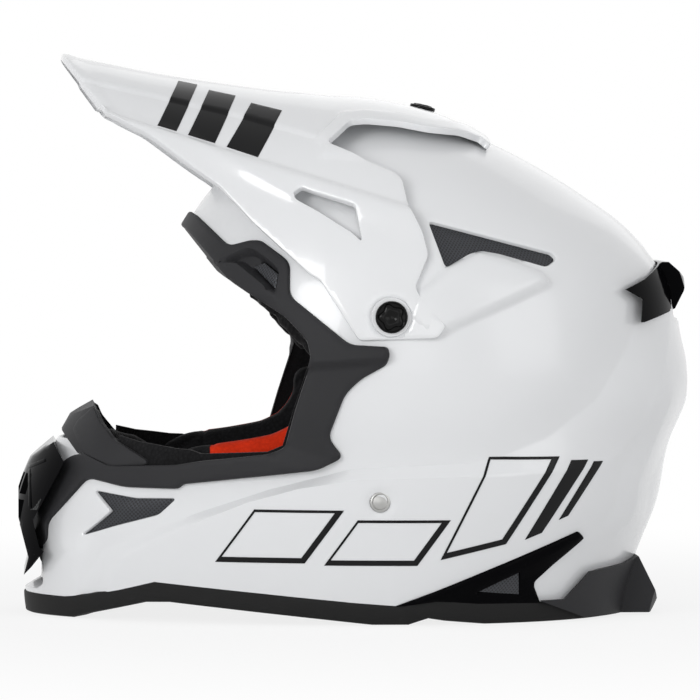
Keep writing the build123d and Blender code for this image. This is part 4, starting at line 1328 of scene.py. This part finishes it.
class HELMET_OT_padding(bpy.types.Operator):
    """Makes the cheek pads, the crown lining, the chin roll and the neck roll."""

    bl_idname = "helmet.padding"
    bl_label = "Padding"

    def execute(self, context):
        pad_seams = [PAD_PANEL[:9], [(-96, 40), (-92, 84), (-80, 92)], [(-20, 34), (-14, 126)]]
        for _, word in SIDES:
            pad = cushion(
                f"{word}_cheek_pad", f"{word}_cheek_cushion", 4.5, 1.6, 4.0, 3.0, 2, pad_seams, 1.2, 1.8)
            places = read_rows(pad.data, "co") / MM
            depth = depth_in(places[:, [0, 2]], PAD_PANEL)
            mask = pad.data.attributes.new("panel", "FLOAT", "POINT")
            mask.data.foreach_set("value", np.minimum(depth, np.abs(places[:, 1]) - PAD_PANEL_FROM))
            dress(pad, "cheek_fabric", stands_for=[f"{word}_cheek_pad"])
        roll_seams = [[(x, 10), (x, 50)] for x in (60, 90, 118)]
        roll = cushion("neck_roll", "neck_cushion", 5.0, 1.4, 4.0, 3.0, 1, roll_seams, 1.4, 3.0)
        dress(roll, "lining_black", stands_for=["neck_roll"])
        crown_seams = [
            [(-78, 196), (-40, 232), (10, 246), (60, 236), (110, 190)],
            [(-46, 158), (-10, 196), (50, 206), (110, 160)], [(-20, 136), (40, 168), (120, 128)],
        ]
        crown = cushion("comfort_liner", "crown_cushion", 5.0, 1.2, 3.0, 2.2, 1, crown_seams, 1.6, 3.0)
        dress(crown, "lining_black", stands_for=["comfort_liner"])
        chin = cushion("chin_bar_foam", "chin_cushion", 4.0, 0.4, 3.0, 2.0, 1)
        chin = dress(chin, "foam_black", finish_name="lining_black", stands_for=["chin_bar_foam"])
        return {"FINISHED"}


class HELMET_OT_straps(bpy.types.Operator):
    """Makes the chin strap's webbing and its rings."""

    bl_idname = "helmet.straps"
    bl_label = "Chin Strap"

    def execute(self, context):
        shared = [(109, 79), (109, 58), (104, 30), (97, 19)]
        for side, word, end in ((-1, "left", -34), (1, "right", 30)):
            path = [(side * y, z) for y, z in shared] + [(end, 19)]
            strap = webbing(f"{word}_webbing", RIVET[0], path, 24.0, 2.2)
            dress(strap, "webbing_black", body=f"{word}_strap", stands_for=[f"{word}_chin_strap"])
        refined("upper_d_ring", "upper_ring_steel", "steel", 0, 2.0, "upper_ring")
        refined("lower_d_ring", "lower_ring_steel", "steel", 0, 2.0, "lower_ring")
        refined("strap_snap", "snap_steel", "steel", 0.4, 1.0, "right_strap")
        return {"FINISHED"}


class HELMET_OT_stripes(bpy.types.Operator):
    """Makes the slanted outline bars of the sides and the solid bars of the peak."""

    bl_idname = "helmet.stripes"
    bl_label = "Stripes"

    def execute(self, context):
        frames = [
            [(-76, 33), (-30, 33), (-10, 61), (-56, 61)],
            [(-20, 32), (28, 32), (45, 56), (-3, 56)],
            [(40, 35), (74, 43), (103, 88), (66, 88)],
        ]
        windows = [grown(loop, -2.1) + (-0.7, 0.7) for loop in frames]
        slim = [[(84, 45), (93, 48.5), (118, 86), (109, 86)], [(102, 55), (107, 57), (126, 85), (121, 85)]]
        outer = [resampled(loop, 1.5) for loop in frames]
        stripes = panel(
            "side_stripes", SHELL, outer + slim, windows, step=3.0, rim=0.05, thick=0.2,
            height=partial(shell_height, lift=0.3), lines=[BODY_LINE, LEDGE_EDGE])
        dress(stripes, "shell_gloss_white", finish_name="decal_black")
        marks = [
            [(-106, 262), (-96, 259), (-84, 284), (-94, 286)],
            [(-90, 257), (-76, 253), (-64, 278), (-78, 281)],
            [(-70, 251), (-54, 245.5), (-40, 270), (-56, 274)],
        ]
        peak_marks = panel(
            "peak_stripes", PEAK, marks, step=2.6, rim=0.05, thick=0.2,
            height=partial(peak_height, lift=0.3), lines=[PEAK_RIDGE, PEAK_CROWN, PEAK_LOW_FOLD])
        dress(peak_marks, "peak_gloss_white", body="peak", finish_name="decal_black")
        return {"FINISHED"}


class HELMET_OT_solids(bpy.types.Operator):
    """Makes the finishes and gives the solids theirs."""

    bl_idname = "helmet.solids"
    bl_label = "Solid Parts"

    def execute(self, context):
        make_finishes()
        for entry in frame["record"]["subparts"]:
            thing = bpy.data.objects.get(entry["node"])
            if thing is None or not thing.material_slots:
                raise RuntimeError(f"no solid named {entry['node']} with a slot for its finish")
            thing.material_slots[0].link = "OBJECT"
            thing.material_slots[0].material = FINISHES[entry["material_slot"]]
        return {"FINISHED"}


def seen_directly(tree):
    """1 for the rays of the camera, of reflections and of glass, 0 for those that light the helmet."""
    path = add_node(tree, "LightPath").outputs
    total = path["Is Camera Ray"]
    for kind in ("Is Glossy Ray", "Is Transmission Ray"):
        total = add_node(tree, "Math", {0: total, 1: path[kind]}, operation="ADD", use_clamp=True).outputs[0]
    return total


def pale_floor():
    """The floor's material: a pale grey that glows white to what sees it directly, fully so further out."""
    tree, shader = new_finish("floor_pale")
    feed(tree, shader, {"Base Color": (0.85, 0.85, 0.85, 1), "Roughness": 0.9, "Specular IOR Level": 0})
    place = add_node(tree, "TexCoord").outputs["Object"]
    away = add_node(tree, "VectorMath", {0: place}, operation="LENGTH").outputs["Value"]
    spread = spread_over(tree, away, 0.15, 0.75, 0.82, interpolation_type="SMOOTHSTEP")
    share = worked_out(tree, "MULTIPLY", seen_directly(tree), spread)
    glow = add_node(tree, "Emission")
    blend = add_node(tree, "MixShader", {"Fac": share, 1: shader.outputs[0], 2: glow.outputs[0]})
    feed(tree, tree.nodes["Material Output"], {"Surface": blend.outputs[0]})
    return FINISHES["floor_pale"]


def studio_world():
    """The world: a soft pale sky that lights the helmet, and plain white to what sees it directly."""
    world = bpy.data.worlds.new("studio")
    world.use_nodes = True
    tree = world.node_tree
    ways = add_node(tree, "TexCoord").outputs["Generated"]
    up = add_node(tree, "SeparateXYZ", {0: ways}).outputs["Z"]
    sky = tree.nodes["Background"]
    feed(tree, sky, {"Color": (0.93, 0.93, 0.94, 1), "Strength": spread_over(tree, up, 0.1, 0.9, 0.74, 0.6)})
    seen = add_node(tree, "Background", {"Color": (1, 1, 1, 1), "Strength": 1})
    mix = add_node(tree, "MixShader", {"Fac": seen_directly(tree), 1: sky.outputs[0], 2: seen.outputs[0]})
    feed(tree, tree.nodes["World Output"], {"Surface": mix.outputs[0]})
    return world


def aimed(thing, place, way):
    """Puts a lamp or camera at a place in metres and turns it along a direction."""
    thing.location = place
    thing.rotation_euler = way.to_track_quat("-Z", "Y").to_euler()
    return thing


class HELMET_OT_stage(bpy.types.Operator):
    """Sets the floor, the world, the soft lamps and the camera."""

    bl_idname = "helmet.stage"
    bl_label = "Stage"

    def execute(self, context):
        scene = context.scene
        scene.view_settings.view_transform = "Standard"
        wide, low = 9000, -0.3
        corners = [(-wide, -wide, low), (wide, -wide, low), (wide, wide, low), (-wide, wide, low)]
        floor = add_mesh("floor", corners, [(0, 1, 2, 3)])
        floor.data.materials.append(pale_floor())
        scene.world = studio_world()
        aim = Vector((0, 0, 0.14))
        for name, place, size, watts in (
                ("key", (-1.5, -1.9, 0.75), 0.9, 17), ("fill", (1.5, -1.7, 0.5), 1.2, 5),
                ("low", (-0.2, -2.2, 0.15), 1.0, 3), ("back", (0.6, 1.7, 1.1), 1.2, 1.5)):
            lamp = bpy.data.lights.new(name, "AREA")
            lamp.size = size
            lamp.energy = watts
            aimed(placed(name, lamp), place, aim - Vector(place))
        camera = bpy.data.cameras.new("camera")
        camera.lens = 300
        camera.sensor_width = 36
        camera.clip_end = 20
        turn, rise, far = np.radians(-3.0), np.radians(2.0), 3.15
        back_off = Vector((np.sin(turn) * np.cos(rise), -np.cos(turn) * np.cos(rise), np.sin(rise)))
        aim = Vector((-0.001, 0, 0.14))
        scene.camera = aimed(placed("camera", camera), aim + back_off * far, -back_off)
        return {"FINISHED"}


class HELMET_PT_panel(bpy.types.Panel):
    """Lists the helmet's pieces."""

    bl_label = "Helmet"
    bl_idname = "HELMET_PT_panel"
    bl_space_type = "VIEW_3D"
    bl_region_type = "UI"
    bl_category = "Helmet"

    def draw(self, context):
        layout = self.layout
        for group in (context.scene.helmet_sizes, context.scene.helmet_finish):
            for field in group.bl_rna.properties.keys():
                if field not in {"rna_type", "name"}:
                    layout.prop(group, field)
        for operator in OPERATORS:
            layout.operator(operator.bl_idname)


OPERATORS = [
    HELMET_OT_stage, HELMET_OT_solids, HELMET_OT_shell, HELMET_OT_trim, HELMET_OT_base, HELMET_OT_meshes,
    HELMET_OT_peak, HELMET_OT_screws, HELMET_OT_vents, HELMET_OT_padding, HELMET_OT_straps, HELMET_OT_stripes,
]
CLASSES = [HelmetFinish, HelmetSizes, *OPERATORS, HELMET_PT_panel]


def register():
    for cls in CLASSES:
        bpy.utils.register_class(cls)
    bpy.types.Scene.helmet_finish = bpy.props.PointerProperty(type=HelmetFinish)
    bpy.types.Scene.helmet_sizes = bpy.props.PointerProperty(type=HelmetSizes)


def unregister():
    del bpy.types.Scene.helmet_finish
    del bpy.types.Scene.helmet_sizes
    for cls in reversed(CLASSES):
        bpy.utils.unregister_class(cls)


def main():
    """Registers the add-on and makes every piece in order."""
    register()
    for operator in OPERATORS:
        getattr(bpy.ops.helmet, operator.bl_idname.split(".")[1])()


if __name__ == "__main__":
    main()
